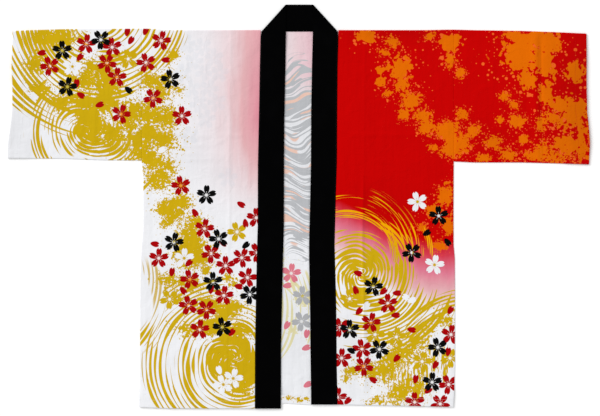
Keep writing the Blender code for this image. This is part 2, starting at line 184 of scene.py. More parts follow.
CREASES = listed(
    Crease,
    (-600, 236, -470, 244, 7, 0.35), (-596, 150, -520, 168, 9, 0.45), (-560, 330, -505, 338, 8, 0.3),
    (-470, 140, -350, 112, 10, 0.4), (-520, 120, -500, 190, 9, 0.35), (-395, 360, -380, 250, 9, 0.3),
    (-345, 100, -300, 165, 8, 0.45), (-330, 90, -250, 60, 9, 0.4), (-264, 130, -178, 129, 4, 0.5),
    (-182, 129, -148, 148, 4, 0.7), (-262, 112, -146, 110, 5, 0.75), (-262, 100, -150, 101, 5, 0.95),
    (-210, 330, -200, 200, 10, 0.25), (-190, 20, -182, -90, 9, 0.3), (-270, -60, -256, -190, 10, 0.35),
    (-320, -210, -240, -226, 8, 0.35), (-200, -280, -110, -272, 8, 0.3), (-325, -330, -290, -400, 9, 0.35),
    (-230, -340, -222, -410, 10, 0.3), (-112, 260, -108, 40, 6, -0.2), (-110, -180, -112, -330, 7, -0.2),
    (141, -150, 143, -420, 12, 1.4), (120, 340, 126, 210, 9, 0.25), (200, 300, 214, 170, 10, 0.3),
    (345, 98, 300, 160, 8, 0.45), (325, 84, 250, 52, 9, 0.4), (110, 152, 300, 150, 6, 0.3),
    (105, 96, 260, 92, 7, 0.28), (240, 20, 250, -110, 10, 0.3), (300, -60, 312, -170, 8, 0.3),
    (150, -200, 300, -214, 7, 0.3), (110, -300, 200, -290, 8, 0.25), (180, -330, 186, -412, 9, 0.35),
    (290, -330, 296, -410, 9, 0.3), (96, 230, 94, 20, 6, -0.2), (400, 360, 412, 240, 9, 0.35),
    (360, 130, 480, 112, 9, 0.4), (440, 300, 470, 210, 8, 0.3), (500, 260, 600, 250, 7, 0.35),
    (560, 190, 604, 176, 8, 0.4), (560, 340, 600, 300, 8, 0.35), (500, 130, 590, 118, 7, 0.35),
    (480, 200, 492, 120, 9, 0.3),
)

# How sharply each front's long fold is still pressed, from the shoulder down, and the left sleeve's.
Press = namedtuple("Press", "y strength")
PRESSED = {
    "right": listed(Press, (0.37, 0.9), (0.22, 0.9), (0.12, 1.2), (-0.02, 1.2), (-0.06, 0.7)),
    "left": listed(Press, (0.08, 0.8), (0.04, 2.2), (-0.03, 3.6), (-0.14, 3.6), (-0.2, 2.6)),
}
SLEEVE_TUCK = listed(Press, (0.38, 0.9), (0.33, 1.7), (0.2, 1.8), (0.15, 0.4))

# Creases of the back panel: its inside shows between the collar's two sides, the rest is hidden.
BACK_CREASES = listed(
    Crease,
    (1, -296, 2, -404, 2.5, 0.55), (-14, 120, -8, -40, 7, 0.3), (12, -110, 16, -230, 6, 0.25),
    (-22, 300, 20, 310, 8, 0.3), (-24, -60, 18, -50, 7, 0.25), (-300, 150, -60, 146, 9, 0.3),
    (60, 150, 300, 156, 9, 0.3), (-240, 300, -230, 60, 10, 0.3), (-150, -60, -146, -330, 10, 0.35),
    (170, 320, 176, 40, 10, 0.3), (230, -40, 240, -360, 10, 0.35), (-300, -220, -110, -230, 8, 0.25),
)

# ---------------------------------------------------------------- The print, in millimetres and degrees

# Whirls: brushed rings round a middle. seam is the direction in which the spiral starts again.
Whirl = namedtuple("Whirl", "x y seam size")
# Parts of a whirl that are brushed: from inner to outer radius, to each side of a direction, and how
# much of the cloth the gold covers there.
Band = namedtuple("Band", "whirl inner outer toward spread cover")
# Patches of flecks: the middle, the half sizes, and the share that the middle is covered.
Patch = namedtuple("Patch", "x y wide high full", defaults=[1.0])
# Blossoms and loose petals: the middle and the turn.
Motif = namedtuple("Motif", "x y turn")
# The colours of the print, as it looks on one face of the cloth.
Inks = namedtuple("Inks", "white blush pink rose red crimson gold amber orange peach grey black")

WHIRLS = listed(
    Whirl,
    (-430, 414, 90, 1.0), (-444, 166, 84, 0.9), (-139, -325, 0, 1.0), (-509, -165, 180, 1.0),
    (131, -144, 180, 0.9), (430, 640, 90, 1.0), (113, -103, 180, 0.45), (379, -364, 0, 0.8),
)
# Two whirls may cross, so each one lies in one of two layers of brushwork.
UPPER_WHIRLS = (0, 2, 4)
LOWER_WHIRLS = (1, 3, 5, 6, 7)
BANDS = listed(
    Band,
    (0, 150, 264, 222, 38, 0.49), (0, 50, 152, 222, 30, 0.72), (0, 105, 205, 272, 28, 0.5),
    (0, 130, 195, 318, 30, 0.5), (0, 176, 200, 312, 26, 0.22), (0, 30, 215, 90, 88, 0.52),
    (0, 52, 126, 318, 42, 0.34), (1, 0, 32, 0, 180, 1.42), (1, 32, 78, 30, 130, 0.44),
    (1, 30, 48, 178, 44, 0.56), (1, 48, 84, 200, 40, 0.1), (1, 32, 66, 322, 52, 0.8),
    (1, 30, 50, 275, 46, 1.3), (1, 32, 64, 90, 46, 0.9), (1, 78, 122, 300, 62, 0.54),
    (1, 80, 142, 160, 24, 0.58), (1, 100, 126, 202, 24, 0.48), (1, 178, 187, 312, 14, 0.45),
    (2, 0, 54, 0, 180, 1.3), (2, 50, 66, 300, 60, 1.0), (2, 54, 74, 0, 180, 0.42),
    (2, 70, 168, 184, 74, 0.4), (2, 132, 172, 200, 32, 0.58), (2, 62, 100, 125, 30, 0.6),
    (2, 172, 190, 205, 45, 0.3), (2, 150, 190, 115, 20, 0.32), (2, 64, 112, 276, 40, 0.32),
    (2, 60, 126, 70, 45, 0.6), (3, 188, 226, -12, 28, 0.08), (3, 182, 208, -36, 10, 0.32),
    (4, 0, 34, 0, 180, 0.95), (4, 34, 58, 0, 180, 0.68), (4, 30, 60, 62, 56, 0.98),
    (4, 58, 76, 95, 80, 0.34), (4, 76, 100, 60, 60, 0.22), (4, 108, 132, 47, 17, 0.5),
    (4, 58, 90, 262, 80, 0.6), (4, 60, 116, 338, 40, 0.68), (4, 116, 198, 314, 30, 0.5),
    (7, 138, 192, 122, 26, 0.46), (4, 90, 160, 250, 44, 0.24), (5, 40, 150, 270, 80, 0.4),
    (6, 82, 102, 60, 66, 0.4), (6, 112, 134, 36, 34, 0.3), (6, 120, 128, 96, 14, 0.25),
    (6, 138, 160, 46, 28, 0.06), (6, 140, 152, 14, 12, 0.3), (6, 166, 174, 10, 8, 0.3),
)

GOLD_FLECKS = listed(
    Patch,
    (-540, 356, 30, 14), (-500, 356, 34, 20), (-558, 303, 20, 24), (-454, 268, 32, 22), (-411, 285, 26, 32),
    (-405, 247, 30, 28), (-442, 296, 20, 16, 0.9), (-505, 222, 23, 19), (-488, 252, 18, 12, 0.85),
    (-454, 224, 48, 12), (-445, 200, 24, 24), (-395, 152, 28, 24), (-398, 216, 24, 16, 0.9),
    (-549, 251, 22, 10), (-430, 179, 20, 32), (-362, 188, 20, 36), (-337, 141, 32, 34), (-318, 158, 20, 20),
    (-342, 208, 16, 22, 0.9), (-318, 268, 22, 16), (-288, 262, 26, 26, 0.9), (-292, 236, 20, 12, 0.85),
    (-267, 321, 12, 12), (-256, 247, 10, 8), (-320, 196, 26, 28, 0.95), (-284, 190, 28, 27),
    (-288, 142, 30, 28), (-312, 99, 24, 26), (-284, 84, 24, 24, 0.82), (-300, 56, 30, 21),
    (-332, 106, 24, 16, 0.88), (-271, 4, 20, 18), (-252, 46, 14, 12), (-246, 10, 20, 14),
    (-262, -16, 26, 22), (-286, -6, 20, 16, 0.9), (-279, -34, 14, 10), (-218, -32, 18, 14),
    (-232, -58, 26, 22), (-226, -86, 31, 28, 1.1), (-242, -108, 24, 20, 0.95), (-232, -124, 20, 12),
    (-252, -96, 14, 12), (-206, -112, 22, 18), (-195, -135, 10, 10), (-276, -156, 21, 14),
    (-232, -164, 26, 18), (-150, -150, 10, 10), (-136, -166, 16, 12, 0.7), (-134, -210, 20, 14, 0.85),
    (-256, -196, 14, 12), (-192, -203, 30, 12), (-236, -262, 20, 14, 0.88), (-186, -262, 22, 16, 0.92),
    (-136, -358, 20, 16), (-163, -237, 17, 17), (-150, -224, 24, 22, 0.9), (-190, -250, 22, 18, 0.85),
    (-132, -270, 30, 20, 0.9), (-122, -384, 26, 18), (217, -312, 28, 26, 0.9), (253, -294, 26, 26, 0.76),
    (198, -330, 20, 26, 0.88), (160, -350, 32, 20, 0.93), (115, -348, 22, 12, 0.95),
    (312, -241, 18, 16, 0.7), (274, -262, 16, 14, 0.55), (99, -366, 8, 8), (212, -396, 28, 24, 0.95),
    (250, -384, 20, 24, 0.82), (166, -412, 24, 9, 0.78), (-560, 560, 40, 30), (-470, 600, 30, 40),
    (-380, 520, 34, 30), (360, 560, 30, 24),
)
# Flecks drawn down into drips.
GOLD_DRIPS = listed(
    Patch,
    (196, -344, 12, 34, 0.7), (225, -366, 18, 46, 0.68), (262, -360, 20, 44, 0.66), (308, -345, 9, 46, 0.7),
    (286, -330, 8, 30, 0.7), (180, -352, 8, 26),
)
ORANGE_FLECKS = listed(
    Patch,
    (199, 348, 13, 14), (181, 328, 12, 8), (189, 241, 10, 10), (219, 260, 15, 17), (236, 224, 22, 20),
    (223, 196, 12, 12), (264, 192, 16, 17), (272, 167, 18, 16), (285, 124, 11, 8), (312, 162, 24, 18),
    (323, 120, 17, 17), (321, 309, 12, 15), (279, 362, 10, 9), (344, 283, 12, 12), (453, 364, 20, 10),
    (438, 234, 10, 10), (455, 215, 10, 10), (463, 181, 18, 16), (427, 184, 8, 8), (346, 194, 13, 13),
    (370, 160, 16, 14), (338, 133, 28, 24), (317, 162, 18, 18), (414, 135, 18, 16), (446, 109, 18, 13),
    (393, 103, 15, 10), (476, 143, 12, 12), (512, 175, 11, 16), (537, 188, 16, 16),
    (520, 122, 24, 18, 0.76), (500, 108, 22, 12), (554, 104, 34, 16, 0.72), (312, 24, 18, 22),
    (286, -8, 20, 14), (318, -40, 14, 22), (262, -44, 12, 9), (300, -84, 18, 10), (500, 420, 40, 30),
    (410, 470, 36, 26), (560, 500, 40, 34), (460, 560, 34, 26), (370, 430, 20, 16), (540, 610, 30, 30),
    (400, 620, 24, 20),
)
# The same, in broader splashes with larger drops.
ORANGE_SPLASHES = listed(
    Patch,
    (143, 360, 21, 17), (216, 298, 27, 22), (172, 290, 11, 10), (175, 264, 12, 10), (315, 347, 19, 23),
    (334, 353, 13, 17), (500, 356, 46, 18), (470, 322, 46, 38), (534, 348, 26, 24, 0.85),
    (524, 306, 18, 34), (486, 268, 20, 24), (527, 240, 17, 36, 0.85), (586, 286, 24, 22),
    (550, 218, 18, 14), (582, 190, 38, 36, 0.8), (592, 212, 24, 18), (597, 131, 26, 34, 0.78),
    (560, 130, 30, 26, 0.72),
)

RED_BLOSSOMS = listed(
    Motif,
    (-451, 345, 10), (-396, 338, 25), (-292, 352, 5), (-528, 298, 40), (-407, 304, 60), (-386, 274, 12),
    (-324, 305, 33), (-309, 230, 50), (-377, 196, 0), (-248, 192, 20), (-250, 44, 30), (-200, -47, 8),
    (-186, -100, 50), (-155, -126, 20), (-121, -109, 64), (-297, -110, 15), (-231, -155, 33),
    (-109, -151, 5), (-90, -24, 20), (-88, -98, 44), (-159, -189, 10), (-234, -210, 30), (-196, -219, 55),
    (-210, -261, 12), (189, -206, 20), (153, -246, 5), (88, -257, 40), (134, -302, 30), (138, -339, 55),
    (91, -322, 15), (323, -272, 10), (318, -378, 42), (246, -415, 20), (300, -419, 55), (82, -405, 10),
    (-520, 470, 15), (-410, 560, 40), (-560, 620, 5), (-370, 430, 60),
)
RED_PETALS = listed(
    Motif,
    (-356, 353, 60), (-364, 371, 80), (-325, 373, 70), (-545, 326, 10), (-464, 317, 50), (-471, 262, 90),
    (-462, 236, -30), (-282, 311, 0), (-220, -14, -60), (-122, 4, -30), (-113, -36, -80), (-305, -80, -10),
    (-160, -78, -30), (-233, -120, 45), (-269, -139, 80), (-245, -179, -50), (-186, -176, 80),
    (-127, -170, -10), (-142, -267, 50), (-422, 216, 20), (126, -142, -20), (121, -178, -70),
    (209, -184, 0), (180, -180, 40), (128, -222, 50), (206, -231, 0), (240, -262, -10), (322, -220, 60),
    (317, -308, 80), (208, -322, 50), (290, -336, 60), (248, -366, 80), (158, -368, -30), (275, -390, 40),
    (104, -412, 45), (-480, 520, 30), (-440, 610, 70),
)
BLACK_BLOSSOMS = listed(
    Motif,
    (-502, 331, 20), (-420, 354, 50), (-491, 254, 5), (-272, 270, 30), (-196, 24, 15), (-170, -69, 35),
    (-265, -76, 5), (-182, -160, 20), (-104, -187, 50), (-162, -256, 30), (158, -170, 5), (108, -261, 20),
    (171, -303, 50), (295, -299, 35), (283, -373, 15), (297, -20, 22), (240, -98, 48), (-460, 480, 25),
    (-500, 590, 50),
)
BLACK_PETALS = listed(
    Motif,
    (-361, 247, -40), (-112, -82, 40), (112, -306, -20), (272, -56, 30), (316, -76, -50),
)
GOLD_BLOSSOMS = listed(
    Motif,
    (-362, 313, 30), (-131, -54, 35), (-274, -197, 50), (108, -196, 25), (207, -277, 10), (262, -329, 5),
    (321, -322, 60), (162, -272, 0),
)
WHITE_BLOSSOMS = listed(
    Motif,
    (-243, -110, 15), (-480, 297, 10), (-160, -378, 40), (-139, -365, 5), (288, -124, 8), (252, 10, 35),
)
WHITE_PETALS = listed(
    Motif,
    (143, -210, 45), (228, -193, 150), (240, -199, 20), (-290, 120, 30), (-169, -347, 110),
)

# The thin white cloth lets the print of the layer below show faintly.
GHOST_BLOSSOMS = listed(
    Motif,
    (-236, 344, 10), (-204, 338, 40), (-180, 316, 20), (-222, 308, 5), (-246, 282, 30), (-200, 286, 55),
    (-168, 284, 12), (-228, 250, 25), (-190, 250, 0), (-212, 218, 45), (-174, 220, 33), (-196, 186, 8),
    (-232, 150, 28), (-150, 60, 15),
)

# Broader and fainter, whatever else lies below.
GHOST_PATCHES = listed(Patch, (-222, 108, 52, 34), (-160, 74, 44, 30), (-250, 148, 30, 10))

# Painted shade: patches where the cloth's colour is made a little darker to stand for the shade round its
# folds and edges.
PAINTED_SHADE_PATCHES = listed(
    Patch,
    (600, 240, 72, 200), (220, 372, 130, 24, 0.58), (416, 141, 40, 34, 0.4), (190, 0, 70, 46, 0.4),
    (112, -310, 40, 84, 0.42), (-612, 170, 30, 60, 0.42), (-250, -150, 90, 60, 0.18),
)
# Painted shade on the back, laid in the same way.
BACK_PAINTED_SHADES = listed(Patch, (0, -260, 60, 120, 0.42), (180, 100, 90, 160, 0.4), (-200, 40, 80, 140, 0.3))

# The back has its own layout. Its outside lies underneath, and its inside shows at the front opening.
BACK_WHIRLS = listed(Whirl, (-190, -230, 180, 1.0), (215, 60, 0, 1.0))
BACK_BANDS = listed(
    Band,
    (0, 0, 46, 0, 180, 0.95), (0, 46, 170, 180, 180, 0.5), (0, 180, 232, 4, 16, 0.44),
    (1, 0, 30, 0, 180, 0.8), (1, 30, 150, 0, 180, 0.46), (1, 322, 360, 232, 14, 0.44),
)
BACK_GOLD = listed(
    Patch,
    (-240, 250, 50, 30), (-180, 190, 30, 40), (-110, 60, 24, 30), (-60, -120, 26, 18), (10, -200, 16, 12),
    (-14, -262, 12, 8), (-22, -431, 10, 4), (2, -429, 9, 5), (17, -434, 6, 4), (80, -260, 40, 26),
    (160, -330, 30, 30), (230, -360, 30, 20),
)
BACK_ORANGE = listed(
    Patch,
    (250, 290, 50, 34), (180, 220, 30, 26), (290, 160, 30, 36), (120, 330, 40, 20), (260, -20, 24, 30),
)
BACK_WATER = listed(Patch, (0, 170, 66, 140), (10, 20, 62, 120), (120, 190, 70, 50))
BACK_RED_BLOSSOMS = listed(
    Motif,
    (-16, -142, 12), (-260, 200, 30), (-200, 300, 8), (-150, 120, 50), (-80, -70, 20), (-240, -60, 44),
    (60, -160, 5), (130, -230, 36), (220, -290, 10), (70, -330, 60), (-60, -340, 25),
)
BACK_RED_PETALS = listed(
    Motif,
    (-24, -168, 10), (-25, -252, 60), (17, -270, 80), (16, -300, 20), (19, -378, 30), (-210, 100, 70),
    (180, -180, 15),
)
BACK_BLACK_BLOSSOMS = listed(
    Motif,
    (8, -190, 20), (6, -244, 44), (-150, 260, 5), (-100, 10, 30), (-200, -330, 50), (190, -240, 24),
    (260, -220, 0),
)

# Where the red of the left front starts to fade, and how far down it takes, in metres.
Fade = namedtuple("Fade", "x start depth")
FADE = listed(
    Fade,
    (0.085, 0.014, 0.132), (0.12, -0.004, 0.122), (0.15, -0.024, 0.122), (0.21, -0.055, 0.145),
    (0.28, -0.074, 0.15),
)

BLOSSOM_KIND = 1.0
PETAL_KIND = 2.0

# ---------------------------------------------------------------- What a user can change


def length(name, description, default, **limits):
    """A length that a user can change."""
    return FloatProperty(name=name, description=description, default=default, unit="LENGTH", **limits)


def ink(name, description, default):
    """A colour that a user can change."""
    return FloatVectorProperty(
        name=name, description=description, default=default, size=3, min=0.0, max=1.0, subtype="COLOR"
    )


class CoatCut(bpy.types.PropertyGroup):
    """Sizes of the cloth and its sewing."""

    cloth: length("Cloth", "Thickness of the cotton", 0.0007, min=0.0003)
    step: length("Step", "Spacing of the points that carry the cloth", 0.003)
    air: length("Air", "How far the fronts stand off the back", 0.0022)
    creasing: FloatProperty(
        name="Creasing", description="Strength of the soft creases", default=1.0, subtype="FACTOR"
    )
    stitch_pitch: length("Stitch pitch", "From one stitch to the next", 0.0034)
    stitch_length: length("Stitch length", "Length of a stitch", 0.0026)
    thread: length("Thread", "Width of the sewing thread", 0.0004)
    seed: IntProperty(name="Seed", description="Choice of the stitches' unevenness", default=7)


class CoatPrint(bpy.types.PropertyGroup):
    """Colours of the cloth and the print."""

    white: ink("White", "Bleached cotton", (0.765, 0.770, 0.795))
    blush: ink("Blush", "Palest of the shaded pinks", (0.70, 0.40, 0.42))
    pink: ink("Pink", "Middle of the shading", (0.66, 0.18, 0.26))
    rose: ink("Rose", "Pink beside the red", (0.60, 0.04, 0.07))
    red: ink("Red", "Dyed red ground", (0.51, 0.0, 0.0))
    crimson: ink("Crimson", "Red blossoms", (0.345, 0.001, 0.002))
    gold: ink("Gold", "Brushed whirls and flecks", (0.545, 0.355, 0.004))
    orange: ink("Orange", "Flecks on the red", (0.69, 0.130, 0.0))
    amber: ink("Amber", "Gold brushed over red", (0.80, 0.36, 0.0))
    peach: ink("Peach", "Fillings of the flowing water", (0.70, 0.26, 0.08))
    grey: ink("Grey", "Flowing water", (0.030, 0.040, 0.045))
    black: ink("Black", "Black blossoms", (0.002, 0.002, 0.002))
    collar: ink("Collar", "Black cotton of the collar", (0.0004, 0.0004, 0.0005))
    blossom: length("Blossom", "Radius of a blossom", 0.0217)


class CoatStage(bpy.types.PropertyGroup):
    """Light and view."""

    key: FloatProperty(name="Key light", description="Strength of the soft light from one side", default=2.0)
    sky: FloatProperty(name="Sky", description="Strength of the light from all round", default=0.72)
    lens: FloatProperty(name="Lens", description="Focal length", default=100.0, unit="CAMERA")
    width: length("Width", "Width of what the camera sees", 1.2732)


# ---------------------------------------------------------------- Reading the tables


def read(table, key, at, column):
    """A column of a table at values of its key column, on straight lines between the rows."""
    rows = sorted(table, key=lambda row: getattr(row, key))
    return np.interp(at, [getattr(row, key) for row in rows], [getattr(row, column) for row in rows])


def ease(t):
    """0 up to t = 0, 1 from t = 1, and a smooth climb between."""
    t = np.clip(t, 0.0, 1.0)
    return t * t * (3 - 2 * t)


def between(a, b, share):
    """A value that lies a share of the way from a to b."""
    return a + share * (b - a)


def spread(length, step):
    """Shares of a length, close together at both ends, where the cloth turns down into a seam."""
    lead = SEAM_LEAD[-1]
    inner = np.linspace(lead, length - lead, max(2, round((length - 2 * lead) / step) + 1))
    return np.concatenate([SEAM_LEAD[:-1], inner, length - SEAM_LEAD[-2::-1]]) / length


def distance_to_line(x, y, ax, ay, bx, by):
    """Distances to a straight stretch from a to b, and how far along it each one meets it."""
    length = (bx - ax) ** 2 + (by - ay) ** 2
    share = np.clip(((x - ax) * (bx - ax) + (y - ay) * (by - ay)) / length, 0.0, 1.0)
    return np.hypot(x - between(ax, bx, share), y - between(ay, by, share)), share


def closed_edges(half):
    """The stretches of a half's outline where front and back are joined, so the cloth lies close."""
    armhole = half.sections[0].side
    corners = [(row.side, row.y) for row in half.sections if row.y < ARMHOLE_END]
    seams = [(half.cuff[0].x, half.sleeve[-1].bottom), (armhole, half.sleeve[0].bottom)] + corners
    shoulder = (half.sections[0].seam, SHOULDER)
    return list(zip(seams, seams[1:])) + [(shoulder, (half.cuff[-1].x, half.sleeve[-1].top))]


def crease(offset):
    """The height of a fold's soft ridge at a distance from its crest."""
    return CREASE_HEIGHT * np.exp(-((offset / (0.5 * CREASE_HALF_WIDTH)) ** 2))


def pressed(east, strength):
    """A fold pressed into the cloth: a ridge whose eastern side falls away slowly."""
    slow, fast = 0.0075, 0.0040
    crisp = CREASE_HEIGHT * np.exp(-np.abs(east) / np.where(east > 0, slow, fast))
    return strength * between(crease(east), crisp, 0.6)


def tucked(east, strength):
    """A fold pressed inwards: the cloth swells a little and then dips sharply."""
    swell_at, swell_reach = -0.014, 0.008
    slow, fast = 0.0060, 0.0032
    swell = np.exp(-(((east - swell_at) / swell_reach) ** 2))
    dip = np.exp(-np.abs(east) / np.where(east < 0, slow, fast))
    return CREASE_HEIGHT * strength * (1.5 * swell - 1.3 * dip)


def folded_shares(shares, fold, length):
    """Shares of a length, set close together across a pressed fold."""
    near = np.array([0.0, 0.0012, 0.0025, 0.004, 0.006]) / length
    kept = shares[np.abs(shares - fold) > 0.0075 / length]
    return np.sort(np.concatenate([kept, fold + near, fold - near[1:]]))


def handled(x, y, table):
    """The swelling of the soft creases of a table."""
    height = np.zeros(np.broadcast(x, y).shape)
    for row in table:
        near, share = distance_to_line(x, y, *(v / 1000 for v in row[:4]))
        taper = np.sin(np.pi * np.clip(share, 0.06, 0.94)) ** 0.7
        height += row.height / 1000 * taper * np.exp(-((near * 1000 / row.reach) ** 2))
    return height


def lift(half, x, y, cut):
    """How far the upper layer stands off: nothing at a closed edge, and uneven away from it."""
    near = np.min([distance_to_line(x, y, *a, *b)[0] for a, b in closed_edges(half)], axis=0)
    reach = 1 - np.exp(-((near / AIR_REACH) ** 2))
    waves = ((0.20, 19, 7, 1.3), (0.16, -11, 23, 0.0), (0.05, 61, 37, 0.0), (0.05, -29, 83, 0.7))
    swell = 0.72 + sum(size * np.sin(a * x + b * y + start) for size, a, b, start in waves)
    close = 1 - np.exp(-((near / 0.012) ** 2))
    return cut.air * reach * swell + cut.creasing * handled(x, y, CREASES) * close


def collar_height(y, end):
    """The height of the middle of the strip: folded at the neck, then on the back, then on its hem."""
    settled = ease((COLLAR_REST - y) / COLLAR_SETTLE)
    climb = ease((end + BODY_HEM_DEPTH + HEM_RISE - y) / (HEM_RISE - BODY_HEM_DEPTH))
    return between(between(COLLAR_FOLDED, COLLAR_ON_BACK, settled), COLLAR_ON_HEM, climb)


# ---------------------------------------------------------------- Shells of cloth


def seam_edge(share, length):
    """How far in from the nearer edge each column lies."""
    return np.minimum(share, 1 - share) * length


def rounded(inset, reach=EDGE_ROUND):
    """The share of the full thickness at a distance in from an edge that rounds over."""
    return np.sqrt(np.clip(1 - (1 - np.clip(inset / reach, 0.03, 1.0)) ** 2, 0.01, 1.0))


def seam_dip(inset):
    """How far the cloth turns down into a seam."""
    return SEAM_DIP * np.exp(-inset / SEAM_DIP_REACH)


def put_down(name, data):
    """An object in the scene."""
    placed = bpy.data.objects.new(name, data)
    bpy.context.scene.collection.objects.link(placed)
    return placed


def give(mesh, name, kind, domain, values):
    """An attribute with one value for each point or face corner."""
    layer = mesh.attributes.new(name, kind, domain)
    layer.data.foreach_set("vector" if kind == "FLOAT_VECTOR" else "value", np.ravel(values))


def shell(name, middle, thick, place, materials, flip=False, ring=False):
    """One closed wall round a grid of points on the middle of the cloth.

    middle and place are indexed [row][column]. place is where each point lies on the print, in metres.
    The outer face wears the first material and the inner face the second.
    """
    rows, columns = middle.shape[:2]
    along = np.gradient(middle, axis=0)
    if ring:
        across = np.roll(middle, -1, axis=1) - np.roll(middle, 1, axis=1)
    else:
        across = np.gradient(middle, axis=1)
    normal = np.cross(across, along) * (-1 if flip else 1)
    normal /= np.linalg.norm(normal, axis=2, keepdims=True)
    half = normal * np.broadcast_to(thick, (rows, columns))[:, :, None] / 2
    points = np.concatenate([(middle + half).reshape(-1, 3), (middle - half).reshape(-1, 3)])

    count = rows * columns
    index = np.arange(count).reshape(rows, columns)
    ahead = np.roll(index, -1, axis=1) if ring else index[:, 1:]
    here = index if ring else index[:, :-1]
    outer = np.stack([here[:-1], ahead[:-1], ahead[1:], here[1:]], axis=2).reshape(-1, 4)
    inner = outer[:, ::-1] + count
    rims = [(ahead[0], here[0]), (here[-1], ahead[-1])]
    if not ring:
        low, high = index[:, 0], index[:, -1]
        rims += [(low[:-1], low[1:]), (high[1:], high[:-1])]
    walls = [np.stack([a, b, b + count, a + count], axis=1) for a, b in rims]
    faces = np.concatenate([outer, inner] + walls)
    if flip:
        faces = faces[:, ::-1]

    mesh = bpy.data.meshes.new(name)
    mesh.from_pydata(points.tolist(), [], faces.tolist())
    slots = np.zeros(len(faces), dtype=np.int32)
    slots[len(outer) : len(outer) + len(inner)] = 1
    for material in materials:
        mesh.materials.append(material)
    mesh.polygons.foreach_set("material_index", slots)
    mesh.shade_smooth()
    mesh.set_sharp_from_angle(angle=math.radians(50))
    mesh.validate()

    flat = np.tile(place.reshape(-1, 2), (2, 1))
    give(mesh, "print_place", "FLOAT_VECTOR", "POINT", np.column_stack([flat, np.zeros(len(flat))]))
    return put_down(name, mesh), flat


# ---------------------------------------------------------------- Laying the print on a mesh


def face_corners(mesh, flat):
    """Each face corner's place on the print in millimetres, its face, and each face's middle."""
    points = np.empty(len(mesh.loops), dtype=np.int32)
    mesh.loops.foreach_get("vertex_index", points)
    sizes = np.empty(len(mesh.polygons), dtype=np.int32)
    mesh.polygons.foreach_get("loop_total", sizes)
    faces = np.repeat(np.arange(len(sizes)), sizes)
    at = flat[points] * 1000
    return at, faces, [np.bincount(faces, column) / sizes for column in at.T]


def turned(dx, dy, degrees):
    """Offsets turned back by an angle."""
    c, s = math.cos(math.radians(degrees)), math.sin(math.radians(degrees))
    return dx * c + dy * s, dy * c - dx * s


def lay_motifs(mesh, name, places, blossoms, petals, radius):
    """Gives each face corner its place within the nearest blossom or petal, in blossom radii."""
    at, faces, (x, y) = places
    rows = [(m, BLOSSOM_KIND) for m in blossoms] + [(m, PETAL_KIND) for m in petals]
    reach = radius * 1000
    best = np.full(len(x), np.inf)
    chosen = np.zeros(len(x), dtype=int)
    for i, (motif, kind) in enumerate(rows):
        away = np.hypot(x - motif.x, y - motif.y) + (kind == PETAL_KIND) * 0.5 * reach
        chosen = np.where(away < best, i, chosen)
        best = np.minimum(away, best)
    values = np.zeros((len(at), 3))
    for i, (motif, kind) in enumerate(rows):
        mine = (chosen[faces] == i) & (best[faces] < 1.6 * reach)
        dx, dy = turned(at[mine, 0] - motif.x, at[mine, 1] - motif.y, motif.turn)
        values[mine] = np.column_stack([dx / reach, dy / reach, np.full(len(dx), kind)])
    give(mesh, name, "FLOAT_VECTOR", "CORNER", values)


def window(value, low, high, soft):
    """1 between two bounds and 0 past them, with soft edges."""
    return ease((value - low) / soft + 0.5) * ease((high - value) / soft + 0.5)


def band_cover(whirl, bands, x, y):
    """How much of the cloth a whirl's gold covers at each place."""
    dx, dy = x - whirl.x, y - whirl.y
    turn = np.arctan2(dy, dx)
    sway = 0.07 * np.sin(2 * turn + whirl.x) + 0.05 * np.sin(5 * turn)
    radius = np.hypot(dx, dy) * (1 + whirl.size * sway)
    cover = np.zeros(len(x))
    for band in bands:
        off = np.abs((np.degrees(turn) - band.toward + 180) % 360 - 180)
        soft = 1.0 if band.spread >= 180 else ease((band.spread - off) / 16 + 0.5)
        inner = band.inner if band.inner > 0 else -50
        cover = np.maximum(cover, window(radius, inner, band.outer, 9) * soft * band.cover)
    return cover


def lay_whirls(mesh, name, places, layout, which):
    """Gives each face corner its place round the whirl that is strongest there, and the gold's cover."""
    at, faces, (x, y) = places
    whirls = {i: layout["whirls"][i] for i in which}
    bands = {i: [band for band in layout["bands"] if band.whirl == i] for i in which}
    best = np.full(len(x), -1.0)
    chosen = np.zeros(len(x), dtype=int)
    for i, whirl in whirls.items():
        cover = band_cover(whirl, bands[i], x, y) + 1e-4 / (1 + np.hypot(x - whirl.x, y - whirl.y))
        chosen = np.where(cover > best, i, chosen)
        best = np.maximum(cover, best)
    values = np.zeros((len(at), 3))
    for i, whirl in whirls.items():
        mine = chosen[faces] == i
        dx, dy = turned(at[mine, 0] - whirl.x, at[mine, 1] - whirl.y, whirl.seam - 180)
        cover = band_cover(whirl, bands[i], at[mine, 0], at[mine, 1])
        values[mine] = np.column_stack([dx / 1000 / whirl.size, dy / 1000 / whirl.size, cover])
    give(mesh, name, "FLOAT_VECTOR", "CORNER", values)


def lay_patches(mesh, name, flat, patches):
    """Gives each point the flecks' cover, which falls away smoothly round each patch."""
    x, y = flat[:, 0] * 1000, flat[:, 1] * 1000
    cover = np.zeros(len(flat))
    for patch in patches:
        near = ((x - patch.x) / patch.wide) ** 2 + ((y - patch.y) / patch.high) ** 2
        cover = np.hypot(cover, patch.full * np.exp(-near))
    give(mesh, name, "FLOAT", "POINT", np.minimum(cover, 1.0))


def right_ground(x, y):
    """Shading of the white half: pink along the collar, fading out below the waist."""
    from_collar = np.clip((-0.088 - x) / 0.062, 0, None)
    up = ease((y + 0.06) / 0.25) * between(1.0, 0.85, ease((y - 0.24) / 0.10))
    return 0.43 * np.exp(-(from_collar**1.3)) * up


def left_ground(x, y):
    """Shading of the red half: red above, then pink, then white round and below the whirl."""
    down = (read(FADE, "x", x, "start") - y) / read(FADE, "x", x, "depth")
    return 1 - np.clip(down, 0, 1)


